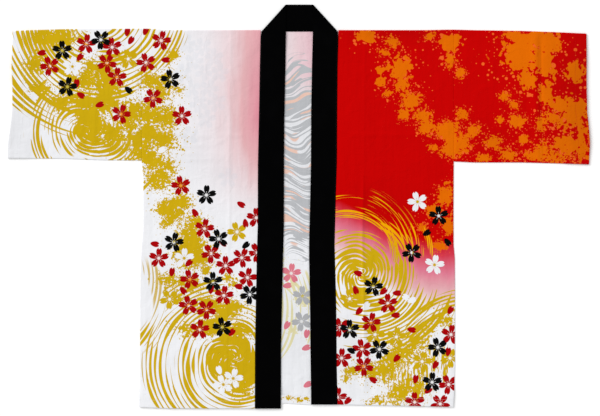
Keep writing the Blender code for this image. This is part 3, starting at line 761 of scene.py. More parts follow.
def back_ground(x, y):
    """Shading of the back: white on its right, red on its left, white again towards the hem."""
    across = ease((x + 0.22) / 0.44)
    blush = (0.34 + 6 * np.clip(x, -0.02, 0.02)) * ease((y - 0.20) / 0.10) * np.exp(-((x / 0.10) ** 2))
    return np.clip(across * ease((y + 0.30) / 0.30) * 0.95 * ease((np.abs(x) - 0.02) / 0.12) + blush, 0, 1)


def lay_print(piece, flat, ground, layout, radius):
    """Puts the whole print's layout on a piece's mesh."""
    mesh = piece.data
    give(mesh, "ground", "FLOAT", "POINT", ground)
    # The patch layers, then the patches of painted shade.
    for name in (*PATCH_LAYERS, "shade"):
        lay_patches(mesh, name, flat, layout.get(name, []))
    places = face_corners(mesh, flat)
    for name in ("over", "under"):
        lay_whirls(mesh, "whirl_" + name, places, layout, layout[name])
    for colour in ("ghost", "white", "gold", "red", "black"):
        rows = layout.get(colour + "_blossoms", []), layout.get(colour + "_petals", [])
        lay_motifs(mesh, "motif_" + colour, places, *rows, radius)


PATCH_LAYERS = ("gold", "drips", "orange", "splash", "water", "ghost")
FRONT_LAYOUT = {
    "gold": GOLD_FLECKS,
    "drips": GOLD_DRIPS,
    "orange": ORANGE_FLECKS,
    "splash": ORANGE_SPLASHES,
    "ghost": GHOST_PATCHES,
    # Patches of painted shade.
    "shade": PAINTED_SHADE_PATCHES,
    "whirls": WHIRLS,
    "bands": BANDS,
    "over": UPPER_WHIRLS,
    "under": LOWER_WHIRLS,
    "red_blossoms": RED_BLOSSOMS,
    "red_petals": RED_PETALS,
    "black_blossoms": BLACK_BLOSSOMS,
    "black_petals": BLACK_PETALS,
    "gold_blossoms": GOLD_BLOSSOMS,
    "white_blossoms": WHITE_BLOSSOMS,
    "white_petals": WHITE_PETALS,
    "ghost_blossoms": GHOST_BLOSSOMS,
}
BACK_LAYOUT = {
    "gold": BACK_GOLD,
    "orange": BACK_ORANGE,
    "water": BACK_WATER,
    # Patches of painted shade.
    "shade": BACK_PAINTED_SHADES,
    "whirls": BACK_WHIRLS,
    "bands": BACK_BANDS,
    "over": (0,),
    "under": (1,),
    "red_blossoms": BACK_RED_BLOSSOMS,
    "red_petals": BACK_RED_PETALS,
    "black_blossoms": BACK_BLACK_BLOSSOMS,
}

# ---------------------------------------------------------------- The sheets' middle surfaces


def points_at(x, y, z):
    """Points from their three measures, of which y and z may be one number for all."""
    return np.stack([x, y + 0 * x, z + 0 * x], axis=-1)


def half_turn(radius):
    """Steps round a half circle: how far each lies past its start, and how far across from it."""
    return [(radius * math.sin(turn), radius * (1 - math.cos(turn))) for turn in HALF_TURN]


def side_at(half, y):
    """Where a half's side seam runs at a height, with half the gap between the pieces taken off."""
    return read(half.sections, "y", y, "side") - half.sign * SEAM / 2


def sewn_at(half, y):
    """Where a front meets the collar at a height."""
    return read(half.sections, "y", y, "seam") + half.sign * SEAM


def strip_at(half, y, across):
    """Places across the collar strip at a height, from its sewn edge to its free one."""
    return between(read(half.sections, "y", y, "seam"), read(half.sections, "y", y, "free"), across)


def unrolled(middle, anchor_row):
    """How far along the cloth each point lies from a row, as a height: up the cloth is more."""
    steps = np.linalg.norm(np.diff(middle, axis=0), axis=2)
    run = np.concatenate([np.zeros((1, middle.shape[1])), np.cumsum(steps, axis=0)])
    return middle[anchor_row, :, 1] + run[anchor_row] - run


def front_height(half, x, y, across, down, hem_y, cut):
    """The height of the middle of a front panel."""
    height = UPPER_LAYER + lift(half, x, y, cut)
    width = np.abs(read(half.sections, "y", y, "seam") - read(half.sections, "y", y, "side"))
    east = -half.sign * (across - half.front_crease) * width
    height += pressed(east, read(PRESSED[half.name], "y", y, "strength"))
    height += 0.6 * crease((down - CROSS_CREASE) * (SHOULDER - hem_y)) * ease(across / 0.2)
    height = between(height, OVER_HEM, ease((hem_y + BODY_HEM_DEPTH + HEM_RISE - y) / HEM_RISE))
    sewn = collar_height(y, hem_y) - between(0.0, COLLAR_THICK / 4, ease((y - ARMHOLE_END) / 0.25))
    return between(height, sewn, ease((across - 0.82) / 0.18) * ease((y - hem_y) / 0.08))


def front_frame(half, across, cut):
    """Where a front's columns start and end, and a function that places its points."""
    hem_x = between(side_at(half, SHOULDER), sewn_at(half, SHOULDER), across)
    hem_y = read(half.hem, "x", hem_x, "y")
    shoulder_y = between(half.sleeve[0].top, SHOULDER, ease(across / 0.3))

    def place(y, down):
        x = between(side_at(half, y), sewn_at(half, y), across)
        return x, front_height(half, x, y, across, down, hem_y, cut)

    return hem_y, shoulder_y, place


def front_middle(half, across, cut):
    """A front's middle surface: from behind the shoulder, over the fold, down, and up inside the hem."""
    hem_y, shoulder_y, place = front_frame(half, across, cut)
    hem_edge = hem_y + LAYER_CLOTH / 2 + HEM_BEND
    x, top_z = place(shoulder_y, 0.0)
    radius = (top_z - FLOOR_LAYER) / 2
    centre_y = shoulder_y - LAYER_CLOTH / 2 - radius
    rows = [points_at(x, NECKLINE + GAP, FLOOR_LAYER)]
    for past, rise in half_turn(radius):
        rows.append(points_at(x, centre_y + past, FLOOR_LAYER + rise))
    anchor = len(rows) - 1
    for down in np.linspace(0, 1, round(FRONT_LENGTH / cut.step))[1:-1]:
        y = centre_y - down * (centre_y - hem_edge)
        x, z = place(y, down)
        rows.append(points_at(x, y, z))
    x, z = place(hem_edge, 1.0)
    for past, drop in half_turn(HEM_BEND):
        rows.append(points_at(x, hem_edge - past, z - drop))
    for rise in np.linspace(0, 1, HEM_ROWS)[1:]:
        y = between(hem_edge, hem_y + BODY_HEM_DEPTH, rise)
        x, z = place(y, 1.0)
        rows.append(points_at(x, y, z - LAYER))
    return np.array(rows), anchor


def make_front(half, materials, cut, radius):
    """A front panel with its print."""
    across = folded_shares(spread(FRONT_WIDTH, cut.step), half.front_crease, FRONT_WIDTH)
    middle, anchor = front_middle(half, across, cut)
    inset = seam_edge(across, FRONT_WIDTH)
    middle[:, :, 2] -= seam_dip(inset)
    place = np.stack([middle[:, :, 0], unrolled(middle, anchor)], axis=2)
    name = f"front_{half.name}_cloth"
    piece, flat = shell(name, middle, cut.cloth * rounded(inset), place, materials, flip=half.sign < 0)
    ground = (right_ground if half.sign < 0 else left_ground)(flat[:, 0], flat[:, 1])
    lay_print(piece, flat, ground, FRONT_LAYOUT, radius)
    return piece


def make_back(materials, cut, radius):
    """The back panel with its hem turned up to the inside."""
    across = spread(BACK_WIDTH, 1.4 * cut.step)
    right_x = read(RIGHT.sections, "y", BACK_HEM[0].y, "side")
    left_x = read(LEFT.sections, "y", BACK_HEM[0].y, "side")
    hem_y = read(BACK_HEM, "x", between(right_x, left_x, across), "y")
    hem_edge = hem_y + LAYER_CLOTH / 2 + HEM_BEND
    rows = []

    def place(y, z):
        x = between(side_at(RIGHT, y), side_at(LEFT, y), across)
        swell = cut.creasing * handled(x, y, BACK_CREASES) * ease((y - hem_y - 0.022) / 0.02)
        rows.append(points_at(x, y, z + swell))

    for down in np.linspace(0, 1, round(BACK_LENGTH / (1.2 * cut.step)))[:-1]:
        place(NECKLINE - down * (NECKLINE - hem_edge), FLOOR_LAYER)
    for past, rise in half_turn(HEM_BEND):
        place(hem_edge - past, FLOOR_LAYER + rise)
    for rise in np.linspace(0, 1, HEM_ROWS)[1:]:
        place(between(hem_edge, hem_y + BODY_HEM_DEPTH, rise), UPPER_LAYER)
    middle = np.array(rows)
    middle[:, :, 2] = np.maximum(middle[:, :, 2], cut.cloth / 2)
    spot = np.stack([middle[:, :, 0], unrolled(middle, 0)], axis=2)
    thick = cut.cloth * rounded(seam_edge(across, BACK_WIDTH))
    piece, flat = shell("back_cloth", middle, thick, spot, materials)
    lay_print(piece, flat, back_ground(flat[:, 0], flat[:, 1]), BACK_LAYOUT, radius)
    return piece


def sleeve_rings(half, along, cut):
    """Points round a sleeve at distances along it, the way each faces, and their places on the print."""
    armhole = half.sections[0].side + half.sign * SEAM / 2
    length = abs(half.cuff[0].x - armhole)
    along = np.asarray(along)[:, None]
    on_hem = ease((CUFF_HEM_DEPTH + HEM_RISE - length * (1 - along)) / HEM_RISE)
    edge_z = between(UPPER_LAYER, OVER_HEM, on_hem)
    radius = (edge_z - FLOOR_LAYER) / 2
    low_y = read(half.sleeve, "along", along, "bottom") + LAYER_CLOTH / 2 + radius
    high_y = read(half.sleeve, "along", along, "top") - LAYER_CLOTH / 2 - radius
    from_fold = half.sign * (along - half.sleeve_crease) * length

    def x_at(share):
        return between(armhole, read(half.cuff, "across", share, "x"), along)

    shares = np.linspace(0, 1, round(SLEEVE_DEPTH / cut.step))[None, :]
    turns = np.linspace(0, math.pi, 10)[None, 1:-1]
    flat_y = between(low_y, high_y, shares)
    flat_x = x_at(shares)
    if half.sign < 0:
        ridge = 0.4 * crease(from_fold)
    else:
        ridge = tucked(from_fold, read(SLEEVE_TUCK, "y", flat_y, "strength"))
    swell = (lift(half, flat_x, flat_y, cut) + ridge) * ease(np.minimum(shares, 1 - shares) / 0.05)
    under = points_at(flat_x, flat_y, FLOOR_LAYER)
    upper = points_at(flat_x, flat_y, np.maximum(edge_z + swell, FLOOR_LAYER + cut.cloth + GAP))

    def bend(centre, x, way):
        y = centre + way * radius * np.sin(turns)
        z = FLOOR_LAYER + radius * (1 - way * np.cos(turns))
        return points_at(np.broadcast_to(x, y.shape), y, z)

    bends = bend(high_y, x_at(1.0), 1), bend(low_y, x_at(0.0), -1)
    ring = np.concatenate([under, bends[0], upper[:, ::-1], bends[1]], axis=1)
    none, ones = np.zeros(shares.size), np.ones(shares.size)
    out_y = np.concatenate([none, np.sin(turns[0]), none, -np.sin(turns[0])])
    out_z = np.concatenate([-ones, -np.cos(turns[0]), ones, np.cos(turns[0])])
    # On the print, the upper layer keeps its height and the rest follows on over the top fold.
    folds = [np.broadcast_to(y, (len(along), turns.size)) for y in (high_y, low_y)]
    mark = np.concatenate([2 * high_y - flat_y, folds[0], flat_y[:, ::-1], folds[1]], axis=1)
    return ring, np.stack([out_y, out_z], axis=1), mark


def sleeve_middle(half, cut):
    """A sleeve's middle surface: a flat tube from the armhole to the cuff, its hem turned in."""
    length = abs(half.cuff[0].x - half.sections[0].side)
    edge = 1 - (LAYER_CLOTH / 2 + HEM_BEND) / length
    lead = SEAM_LEAD / length
    stations = np.concatenate([lead, np.linspace(lead[-1], edge, round(length / cut.step))[1:]])
    rings, out, mark = sleeve_rings(half, folded_shares(stations, half.sleeve_crease, length), cut)
    rows = list(rings)
    marks = [np.stack([ring[:, 0], m], axis=1) for ring, m in zip(rings, mark)]
    last, last_mark = rings[-1], mark[-1]

    def inside(depth, beyond):
        """The shift of a ring's points into the sleeve, and past its cuff."""
        return np.column_stack([np.full(len(out), beyond), -depth * out])

    for turn, (past, depth) in list(zip(HALF_TURN, half_turn(HEM_BEND)))[1:]:
        rows.append(last + inside(depth, half.sign * past))
        marks.append(np.stack([last[:, 0] + half.sign * HEM_BEND * turn, last_mark], axis=1))
    hem = np.linspace(edge, 1 - CUFF_HEM_DEPTH / length, CUFF_HEM_ROWS)[1:]
    inner, _, inner_mark = sleeve_rings(half, hem, cut)
    for ring, m in zip(inner, inner_mark):
        rows.append(ring + inside(LAYER, 0.0))
        marks.append(np.stack([2 * last[:, 0] - ring[:, 0], m], axis=1))
    return np.array(rows), np.array(marks)


def make_sleeve(half, materials, cut, radius):
    """A sleeve with its print."""
    middle, place = sleeve_middle(half, cut)
    inset = np.abs(middle[:, :, 0] - half.sections[0].side)
    inset[-CUFF_ROWS:] = 1.0
    middle[:, :, 2] -= seam_dip(inset) * (middle[:, :, 2] > BETWEEN_LAYERS)
    thick = cut.cloth * rounded(inset)
    name = f"sleeve_{half.name}_cloth"
    piece, flat = shell(name, middle, thick, place, materials, flip=half.sign < 0, ring=True)
    ground = np.full(len(flat), 0.0 if half.sign < 0 else 1.0)
    lay_print(piece, flat, ground, FRONT_LAYOUT, radius)
    return piece


def hanging_rows(half, across, step):
    """Rows of the collar strip from its lower end to the start of the neck fold."""
    rows = []
    for y in np.linspace(half.end, COLLAR_REST, round((COLLAR_REST - half.end) / step)):
        x = strip_at(half, y, across)
        wave = 0.00012 * np.sin(31 * y + 40 * x)
        wave *= ease((y - half.end) / 0.03) * ease((COLLAR_REST - y) / 0.05)
        rows.append(points_at(x, y, collar_height(y, half.end) + wave))
    return rows


def neck_fold(half, across):
    """Rows from the hanging stretch onto the 45 degree fold and round it, seam edge first."""
    radius = (COLLAR_FOLDED - COLLAR_FLOOR) / 2
    inset = (radius + COLLAR_THICK / 2) / math.sqrt(2)
    drift = math.pi * radius / math.sqrt(2)
    seam_x = read(half.sections, "y", SHOULDER, "seam") - half.sign * inset
    free_x = read(half.sections, "y", SHOULDER, "free")
    start = np.array([seam_x, NECKLINE - drift])
    end = np.array([free_x, COLLAR_TOP - drift])
    fold = (end - start) / np.linalg.norm(end - start)
    out = np.array([half.sign * fold[1], abs(fold[0])])
    line = start + across[:, None] * (end - start)
    rows = []
    for share in (0.2, 0.4, 0.6, 0.8):
        x = between(strip_at(half, COLLAR_REST, across), line[:, 0], share)
        rows.append(points_at(x, between(COLLAR_REST, line[:, 1], share), COLLAR_FOLDED))
    for turn in np.linspace(0, math.pi, 11):
        at = line + radius * math.sin(turn) * out + radius * turn * fold
        rows.append(points_at(at[:, 0], at[:, 1], COLLAR_FLOOR + radius * (1 + math.cos(turn))))
    return rows


def make_collar(material):
    """The collar strip, rounded along its folded edges: up one front, behind the neck, down the other."""
    across = spread(COLLAR_WIDTH, COLLAR_STEP)
    rows = hanging_rows(RIGHT, across, 0.8 * COLLAR_STEP) + neck_fold(RIGHT, across)
    onward = neck_fold(LEFT, across)[::-1]
    behind = [between(rows[-1], onward[0], share) for share in np.linspace(0, 1, 28)[1:-1]]
    rows += behind + onward + hanging_rows(LEFT, across, 0.8 * COLLAR_STEP)[::-1]
    middle = np.array(rows)
    thick = COLLAR_THICK * rounded(seam_edge(across, COLLAR_WIDTH), 2 * EDGE_ROUND)
    steps = np.linalg.norm(np.diff(middle[:, len(across) // 2], axis=0), axis=1)
    run = np.concatenate([[0.0], np.cumsum(steps)])
    width = np.broadcast_to(across * COLLAR_WIDTH, middle.shape[:2])
    place = np.stack([width, np.broadcast_to(run[:, None], width.shape)], axis=2)
    return shell("collar_cloth", middle, thick, place, [material, material])[0]


# ---------------------------------------------------------------- Nodes


class Wire:
    """What a node gives to others. Sums of wires make nodes that work them out; a | b is the greater."""

    def __init__(self, made, output=0):
        self.tree, self.socket = made.id_data, made.outputs[output]

    def __add__(self, other):
        return maths("ADD", self, other)

    def __sub__(self, other):
        return maths("SUBTRACT", self, other)

    def __rsub__(self, other):
        return maths("SUBTRACT", other, self)

    def __mul__(self, other):
        return maths("MULTIPLY", self, other)

    def __truediv__(self, other):
        return maths("DIVIDE", self, other)

    def __or__(self, other):
        return maths("MAXIMUM", self, other)


def link(value, socket):
    """Joins a wire to an input, or sets the input to a value."""
    if isinstance(value, Wire):
        value.tree.links.new(value.socket, socket)
    else:
        socket.default_value = value


def node(kind, *values, named={}, tree=None, **settings):
    """A node with its settings made, and with its first inputs and its named ones joined or set."""
    wires = [value for value in (*values, *named.values()) if isinstance(value, Wire)]
    made = (tree or wires[0].tree).nodes.new(kind)
    for name, value in settings.items():
        setattr(made, name, value)
    for value, socket in zip(values, made.inputs):
        link(value, socket)
    for name, value in named.items():
        link(value, made.inputs[name])
    return made


def maths(operation, *values):
    """A sum worked out by a node."""
    return Wire(node("ShaderNodeMath", *values, operation=operation))


def scaled(vector, factor):
    """A vector made longer by a factor."""
    made = node("ShaderNodeVectorMath", vector, named={"Scale": factor}, operation="SCALE")
    return Wire(made, "Vector")


def long(vector):
    """How long a vector is."""
    return Wire(node("ShaderNodeVectorMath", vector, operation="LENGTH"), "Value")


def parts(vector):
    """A vector's x, y and z."""
    made = node("ShaderNodeSeparateXYZ", vector)
    return [Wire(made, i) for i in range(3)]


def joined(x, y, z=0.0):
    """A vector of x, y and z."""
    return Wire(node("ShaderNodeCombineXYZ", x, y, z))


def step(value, low, high):
    """A smooth step from 0 at low to 1 at high, or the other way where high is the lower."""
    ends = (*sorted((low, high)), float(high < low), float(high > low))
    return Wire(node("ShaderNodeMapRange", value, *ends, interpolation_type="SMOOTHSTEP"), "Result")


def noise(place, scale=1.0, detail=2.0, roughness=0.5, distortion=0.0):
    """Soft noise round a half."""
    chosen = {"Scale": scale, "Detail": detail, "Roughness": roughness, "Distortion": distortion}
    return Wire(node("ShaderNodeTexNoise", place, named=chosen))


def over(share, under, upper):
    """One colour laid over another. A mix node keeps its colours' sockets at 6 and 7, and at 2."""
    made = node("ShaderNodeMix", share, data_type="RGBA")
    for value, socket in zip((under, upper), made.inputs[6:8]):
        link(value if isinstance(value, Wire) else (*value, 1.0), socket)
    return Wire(made, 2)


def attribute(tree, name, output="Vector"):
    """What the mesh carries under a name."""
    return Wire(node("ShaderNodeAttribute", tree=tree, attribute_name=name), output)


def new_group(name, inputs, outputs):
    """An empty shader group with named sockets; returns the tree, its inputs and what it gives out."""
    tree = bpy.data.node_groups.new(name, "ShaderNodeTree")
    for socket, kind, *value in inputs:
        made = tree.interface.new_socket(socket, in_out="INPUT", socket_type="NodeSocket" + kind)
        if value:
            made.default_value = value[0]
    for socket, kind in outputs:
        tree.interface.new_socket(socket, in_out="OUTPUT", socket_type="NodeSocket" + kind)
    entry = tree.nodes.new("NodeGroupInput")
    given = {row[0]: Wire(entry, row[0]) for row in inputs}
    return tree, given, tree.nodes.new("NodeGroupOutput").inputs


def use(tree, group, **values):
    """Places a group in a tree and joins its inputs; returns what it gives, by name."""
    made = node("ShaderNodeGroup", tree=tree, node_tree=group)
    for name, value in values.items():
        link(value, made.inputs[name])
    return {socket.name: Wire(made, socket.name) for socket in made.outputs}


# ---------------------------------------------------------------- Effects that materials share


def weave_group():
    """Plain weave: threads over and under, slubs along them, and the tone that these give the cloth."""
    tree, given, out = new_group(
        "Plain weave",
        [("Place", "Vector"), ("Threads", "Float", 1900.0)],
        [("Height", "Float"), ("Tone", "Float")],
    )
    x, y, _ = parts(given["Place"])
    turn = given["Threads"] * math.pi
    knots = maths("SINE", x * turn) * maths("SINE", y * turn)
    across, along = 900, 45
    slubs = noise(joined(x * across, y * along)) + noise(joined(x * along, y * across)) - 1.0
    link(knots * 0.3 + slubs, out["Height"])
    link(slubs, out["Tone"])
    return tree


def blossom_group():
    """A cherry blossom of five notched petals, or one loose petal, from a place in blossom radii."""
    tree, given, out = new_group("Blossom", [("Place", "Vector")], [("Petals", "Float"), ("Heart", "Float")])
    u, v, kind = parts(given["Place"])
    loose, shown = maths("GREATER_THAN", kind, 1.5), maths("GREATER_THAN", kind, 0.5)
    whole = 1.0 - loose
    radius = long(joined(u, v))
    sector = math.pi / 5
    angle = maths("WRAP", maths("ARCTAN2", v, u), sector, -sector)

    # Along a petal's own middle line, and aside from it: a blossom's nearest petal, or the loose one.
    loose_start = 0.57
    along = (u + loose_start) * loose + radius * maths("COSINE", angle) * whole
    aside = maths("ABSOLUTE", v) * loose + maths("ABSOLUTE", radius * maths("SINE", angle)) * whole

    # A petal is an oval, wider towards its end, with a notch cut in.
    middle, half_length, notch_end = 0.56, 0.45, 0.86
    half_width = along * 0.135 + 0.203
    length = maths("POWER", (along - middle) / half_length, 2.0)
    width = maths("POWER", aside / half_width, 2.0)
    notch = along - notch_end - aside * 1.5
    petals = step(length + width, 1.03, 0.95) * step(notch, 0.015, -0.015)
    link(petals * shown, out["Petals"])

    # Each stamen is a fine line with a dot at its end.
    stamen_end = 0.34
    line = step(aside, 0.018, 0.004) * step(along, 0.35, 0.29)
    dot = step(long(joined(along - stamen_end, aside)), 0.030, 0.020)
    heart = line | dot | step(radius, 0.17, 0.11)
    link(heart * whole * shown, out["Heart"])
    return tree


def whirl_group():
    """Brush strokes round a middle, each thinning out at its ends.

    Place holds the offset from the middle, and how much the gold covers. The spiral opens by eight rings
    in a turn, so the strokes meet where it starts again.
    """
    ring = 0.0098
    tree, given, out = new_group(
        "Brushed whirl",
        [("Place", "Vector"), ("Ring", "Float", ring), ("Open", "Float", 0.01248), ("Choice", "Float", 0.0)],
        [("Strokes", "Float")],
    )
    u, v, cover = parts(given["Place"])
    radius, angle = long(joined(u, v)), maths("ARCTAN2", v, u)
    around = [maths(way, angle) + given["Choice"] for way in ("COSINE", "SINE")]

    def near(scale, depth):
        """Noise that runs round the middle; depth keeps one stroke's noise from the next one's."""
        return noise(joined(*(value * scale for value in around), depth), detail=0.0) - 0.5

    spiral = radius - angle * given["Open"]
    wander = near(0.9, radius * 16.0)
    phase = wander * 2.6 + spiral / given["Ring"]
    stroke = maths("FLOOR", phase)
    off = maths("ABSOLUTE", phase - stroke - 0.5) * 2.0
    uneven, ragged = near(1.5, stroke * 7.31), near(1.7, phase * 2.4)
    width = uneven * 2.5 + cover + ragged * 0.7
    link(step(width - off, 0.0, 0.06) * step(cover, 0.02, 0.10), out["Strokes"])
    return tree


def fleck_group():
    """Spattered ink: ragged patches where the cover is high, and round drops about them."""
    tree, given, out = new_group(
        "Spattered flecks",
        [
            ("Place", "Vector"),
            ("Cover", "Float"),
            ("Size", "Float", 1.0),
            ("Grain", "Float", 1.0),
            ("Fine", "Float", 1.4),
        ],
        [("Patches", "Float"), ("Drops", "Float")],
    )
    place, cover = scaled(given["Place"], given["Size"]), given["Cover"]
    level = cover * 1.35
    for scale, strength in ((55.0, 1.1), (150.0, 1.8), (340.0, given["Fine"])):
        rough = noise(place, scale=scale, detail=0.0, distortion=0.3) - 0.5
        level = rough * given["Grain"] * strength + level

    def spots(scale, least, reach, share):
        """Round spots of uneven size, on a share of the cells of a scattered grid."""
        cell = node("ShaderNodeTexVoronoi", place, named={"Scale": scale})
        chance, size, _ = parts(Wire(cell, "Color"))
        spot = step(Wire(cell, "Distance") - (size * reach + least), 0.02, -0.02)
        return spot * step(share - chance, 0.0, 0.03)

    patches = step(level, 0.62, 0.68) * step(cover, 0.05, 0.16)
    bare = cover * -0.85 + 0.75
    for scale in (190.0, 380.0):
        patches = patches * (1.0 - spots(scale, 0.12, 0.26, bare))
    thin = maths("POWER", cover, 0.5)
    drops = spots(96.0, 0.14, 0.22, thin - 0.20)
    for scale, reach in ((165.0, 0.28), (300.0, 0.30)):
        drops = drops | spots(scale, 0.12, reach, thin)
    link(patches, out["Patches"])
    link(drops, out["Drops"])
    return tree


def water_group():
    """Flowing water: long wavering lines across the cloth, some of them filled, that taper out."""
    tree, given, out = new_group(
        "Flowing water",
        [("Place", "Vector"), ("Cover", "Float")],
        [("Lines", "Float"), ("Fill", "Float")],
    )
    x, y, _ = parts(given["Place"])
    cover = given["Cover"]
    sway = noise(given["Place"], scale=14.0, detail=1.0) * 3.0 + maths("SINE", x * 46.0 + y * 14.0)
    wave = y * 95.0 + sway * 1.3
    run = noise(joined(x * 10.0, wave), detail=1.0)
    reach = step(cover, 0.10, 0.65) * 0.085 - 0.012
    link(step(maths("ABSOLUTE", run - 0.525) - reach, 0.006, -0.006), out["Lines"])
    fine = noise(joined(x * 16.0, wave * 0.45, 5.0), detail=1.0)
    filled = step(fine, 0.505, 0.535) * step(run, 0.50, 0.47)
    link(filled * step(cover, 0.40, 0.45), out["Fill"])
    return tree


def reverse_inks(inks):
    """The print's colours as they show through on the reverse: each one paler, in its own measure."""
    fades = {"red": 0.30, "crimson": 0.52, "gold": 0.60, "amber": 0.50, "black": 0.52, "grey": 0.55}
    casts = {"crimson": (0.95, 0.34, 0.44), "red": (0.85, 0.45, 0.48), "gold": (0.80, 0.84, 0.62)}
    pale = {}
    for name, colour in zip(Inks._fields, inks):
        cast = casts.get(name, (0.77, 0.78, 0.81))
        pale[name] = tuple(between(c, d, fades.get(name, 0.45)) for c, d in zip(colour, cast))
    return Inks(**pale)


def ground_colour(ground, x, y, inks):
    """The shaded ground, a little mottled where it shades from one colour to the next."""
    mottle = noise(joined(x * 60, y * 9), detail=3.0) - 0.5
    inside = step(ground, 0.0, 0.2) * step(ground, 1.0, 0.9)
    ramp = node("ShaderNodeValToRGB", mottle * 0.16 * inside + ground)
    stops = [(0.0, inks.white), (0.28, inks.blush), (0.55, inks.pink), (0.80, inks.rose), (1.0, inks.red)]
    for spot, _ in stops[1:-1]:
        ramp.color_ramp.elements.new(spot)
    for element, (spot, colour) in zip(ramp.color_ramp.elements, stops):
        element.position = spot
        element.color = (*colour, 1.0)
    return Wire(ramp, "Color")


def print_group(name, inks, effects):
    """The whole print's colour at each place, from the layout that the mesh carries."""
    tree, _, out = new_group(name, [], [("Colour", "Color"), ("Ink", "Float")])
    place = attribute(tree, "print_place")
    x, y, _ = parts(place)
    share = {name: attribute(tree, name, "Fac") for name in ("ground", *PATCH_LAYERS)}
    ground = share["ground"]
    colour = ground_colour(ground, x, y, inks)
    colour = over(share["ghost"] * 0.09, colour, (0.40, 0.42, 0.46))

    # Flowing water, on the back.
    flow = use(tree, effects["water"], Place=place, Cover=share["water"])
    colour = over(step(share["water"], 0.35, 0.9) * 0.22, colour, inks.grey)
    colour = over(flow["Fill"], colour, inks.peach)
    colour = over(flow["Lines"], colour, inks.grey)

    # Orange and gold.
    salmon = tuple(min(1.0, c + d) for c, d in zip(inks.orange, (0.08, -0.02, 0.015)))
    flecks = effects["flecks"]
    small = use(tree, flecks, Place=place, Cover=share["orange"], Size=1.0, Grain=0.8, Fine=1.4)
    broad = use(tree, flecks, Place=place, Cover=share["splash"], Size=0.62, Grain=0.8, Fine=0.5)
    colour = over(small["Drops"] | broad["Drops"], colour, salmon)
    colour = over(small["Patches"] | broad["Patches"], colour, inks.orange)
    gold = use(tree, flecks, Place=place, Cover=share["gold"], Size=1.1)
    drips = use(tree, flecks, Place=joined(x * 1.1, y * 0.16, 4.0), Cover=share["drips"], Size=1.3)
    mask = gold["Patches"] | gold["Drops"] | drips["Patches"]
    for layer, choice in (("whirl_under", 7.3), ("whirl_over", 2.1)):
        mask = mask | use(tree, effects["whirl"], Place=attribute(tree, layer), Choice=choice)["Strokes"]
    colour = over(mask, colour, over(step(ground, 0.55, 1.0), inks.gold, inks.amber))

    # Blossoms and petals.
    inked = mask | step(ground, 0.1, 0.5)
    below = use(tree, effects["blossom"], Place=attribute(tree, "motif_ghost"))
    colour = over(below["Petals"] * 0.16, colour, (0.50, 0.57, 0.64))
    blooms = (
        ("white", inks.white, inks.gold),
        ("gold", inks.gold, inks.white),
        ("red", inks.crimson, over(mask, (0.76, 0.68, 0.66), (0.74, 0.28, 0.03))),
        ("black", inks.black, over(mask, (0.72, 0.72, 0.72), (0.50, 0.40, 0.05))),
    )
    for kind, petal, heart in blooms:
        bloom = use(tree, effects["blossom"], Place=attribute(tree, "motif_" + kind))
        colour = over(bloom["Heart"], over(bloom["Petals"], colour, petal), heart)
        inked = inked | bloom["Petals"]
    link(colour, out["Colour"])
    link(inked, out["Ink"])
    return tree


# ---------------------------------------------------------------- Materials


def cotton(name, roughness, sheen, specular):
    """A material with a matt cotton shader; returns its tree and its shader's inputs."""
    material = bpy.data.materials.new(name)
    material.use_nodes = True
    inputs = material.node_tree.nodes["Principled BSDF"].inputs
    inputs["Roughness"].default_value = roughness
    inputs["Sheen Weight"].default_value = sheen
    inputs["Sheen Roughness"].default_value = 0.5
    inputs["Specular IOR Level"].default_value = specular
    return material.node_tree, inputs


def bumped(inputs, *heights):
    """Joins heights, each with its depth in metres, to a shader's normal."""
    normal = None
    for height, depth in heights:
        bump = node("ShaderNodeBump", named={"Strength": 1.0, "Distance": depth, "Height": height})
        if normal is not None:
            link(normal, bump.inputs["Normal"])
        normal = Wire(bump, "Normal")
    link(normal, inputs["Normal"])


def toned(colour, tone, strength):
    """A colour made a little lighter and darker by a tone round nought."""
    return scaled(colour, tone * strength + 1.0)


def printed_cotton(name, effects, face):
    """Cotton with the print of one face of the cloth."""
    tree, inputs = cotton(name, roughness=0.88, sheen=0.0, specular=0.03)
    place = attribute(tree, "print_place")
    weave = use(tree, effects["weave"], Place=place)
    printed = use(tree, effects[face])
    shadow = noise(place, scale=16.0, detail=3.0, roughness=0.55) - 0.5
    # Painted shade: the print's colour is darkened where the patches of painted shade lie.
    colour = toned(printed["Colour"], attribute(tree, "shade", "Fac"), -0.20)
    link(toned(colour, weave["Tone"] + shadow, 0.06), inputs["Base Color"])
    link(printed["Ink"] * -0.08 + 0.90, inputs["Roughness"])
    crumple = noise(place, scale=38.0, detail=4.0, distortion=0.6)
    x, y, _ = parts(place)
    hung = noise(joined(x * 70.0, y * 8.0))
    bumped(inputs, (crumple, 0.0020), (hung, 0.0012), (weave["Height"], 0.00007))


def black_cotton(name, black, effects):
    """Black cotton of the collar: the weave, a little lint, and worn tone."""
    tree, inputs = cotton(name, roughness=0.9, sheen=0.0, specular=0.02)
    place = attribute(tree, "print_place")
    weave = use(tree, effects["weave"], Place=place, Threads=1500.0)
    wear = noise(place, scale=22.0, detail=3.0)
    lint = noise(place, scale=900.0, detail=1.0)
    base = over(step(wear, 0.45, 0.8), tuple(black), tuple(c * 2.2 for c in black))
    base = over(step(lint, 0.74, 0.80), base, tuple(c * 8 for c in black))
    link(toned(base, weave["Tone"], 0.5), inputs["Base Color"])
    link(wear * 0.1 + 0.85, inputs["Roughness"])
    bumped(inputs, (noise(place, scale=30.0, detail=3.0), 0.0010), (weave["Height"], 0.00008))


def thread_cotton(name, colour):
    """Sewing thread, twisted."""
    tree, inputs = cotton(name, roughness=0.7, sheen=0.05, specular=0.2)
    x, y, z = parts(Wire(node("ShaderNodeTexCoord", tree=tree), "Object"))
    twist = maths("SINE", (x + (y + z)) * 9000.0)
    link(toned(colour, twist, 0.08), inputs["Base Color"])
    bumped(inputs, (twist, 0.00003))


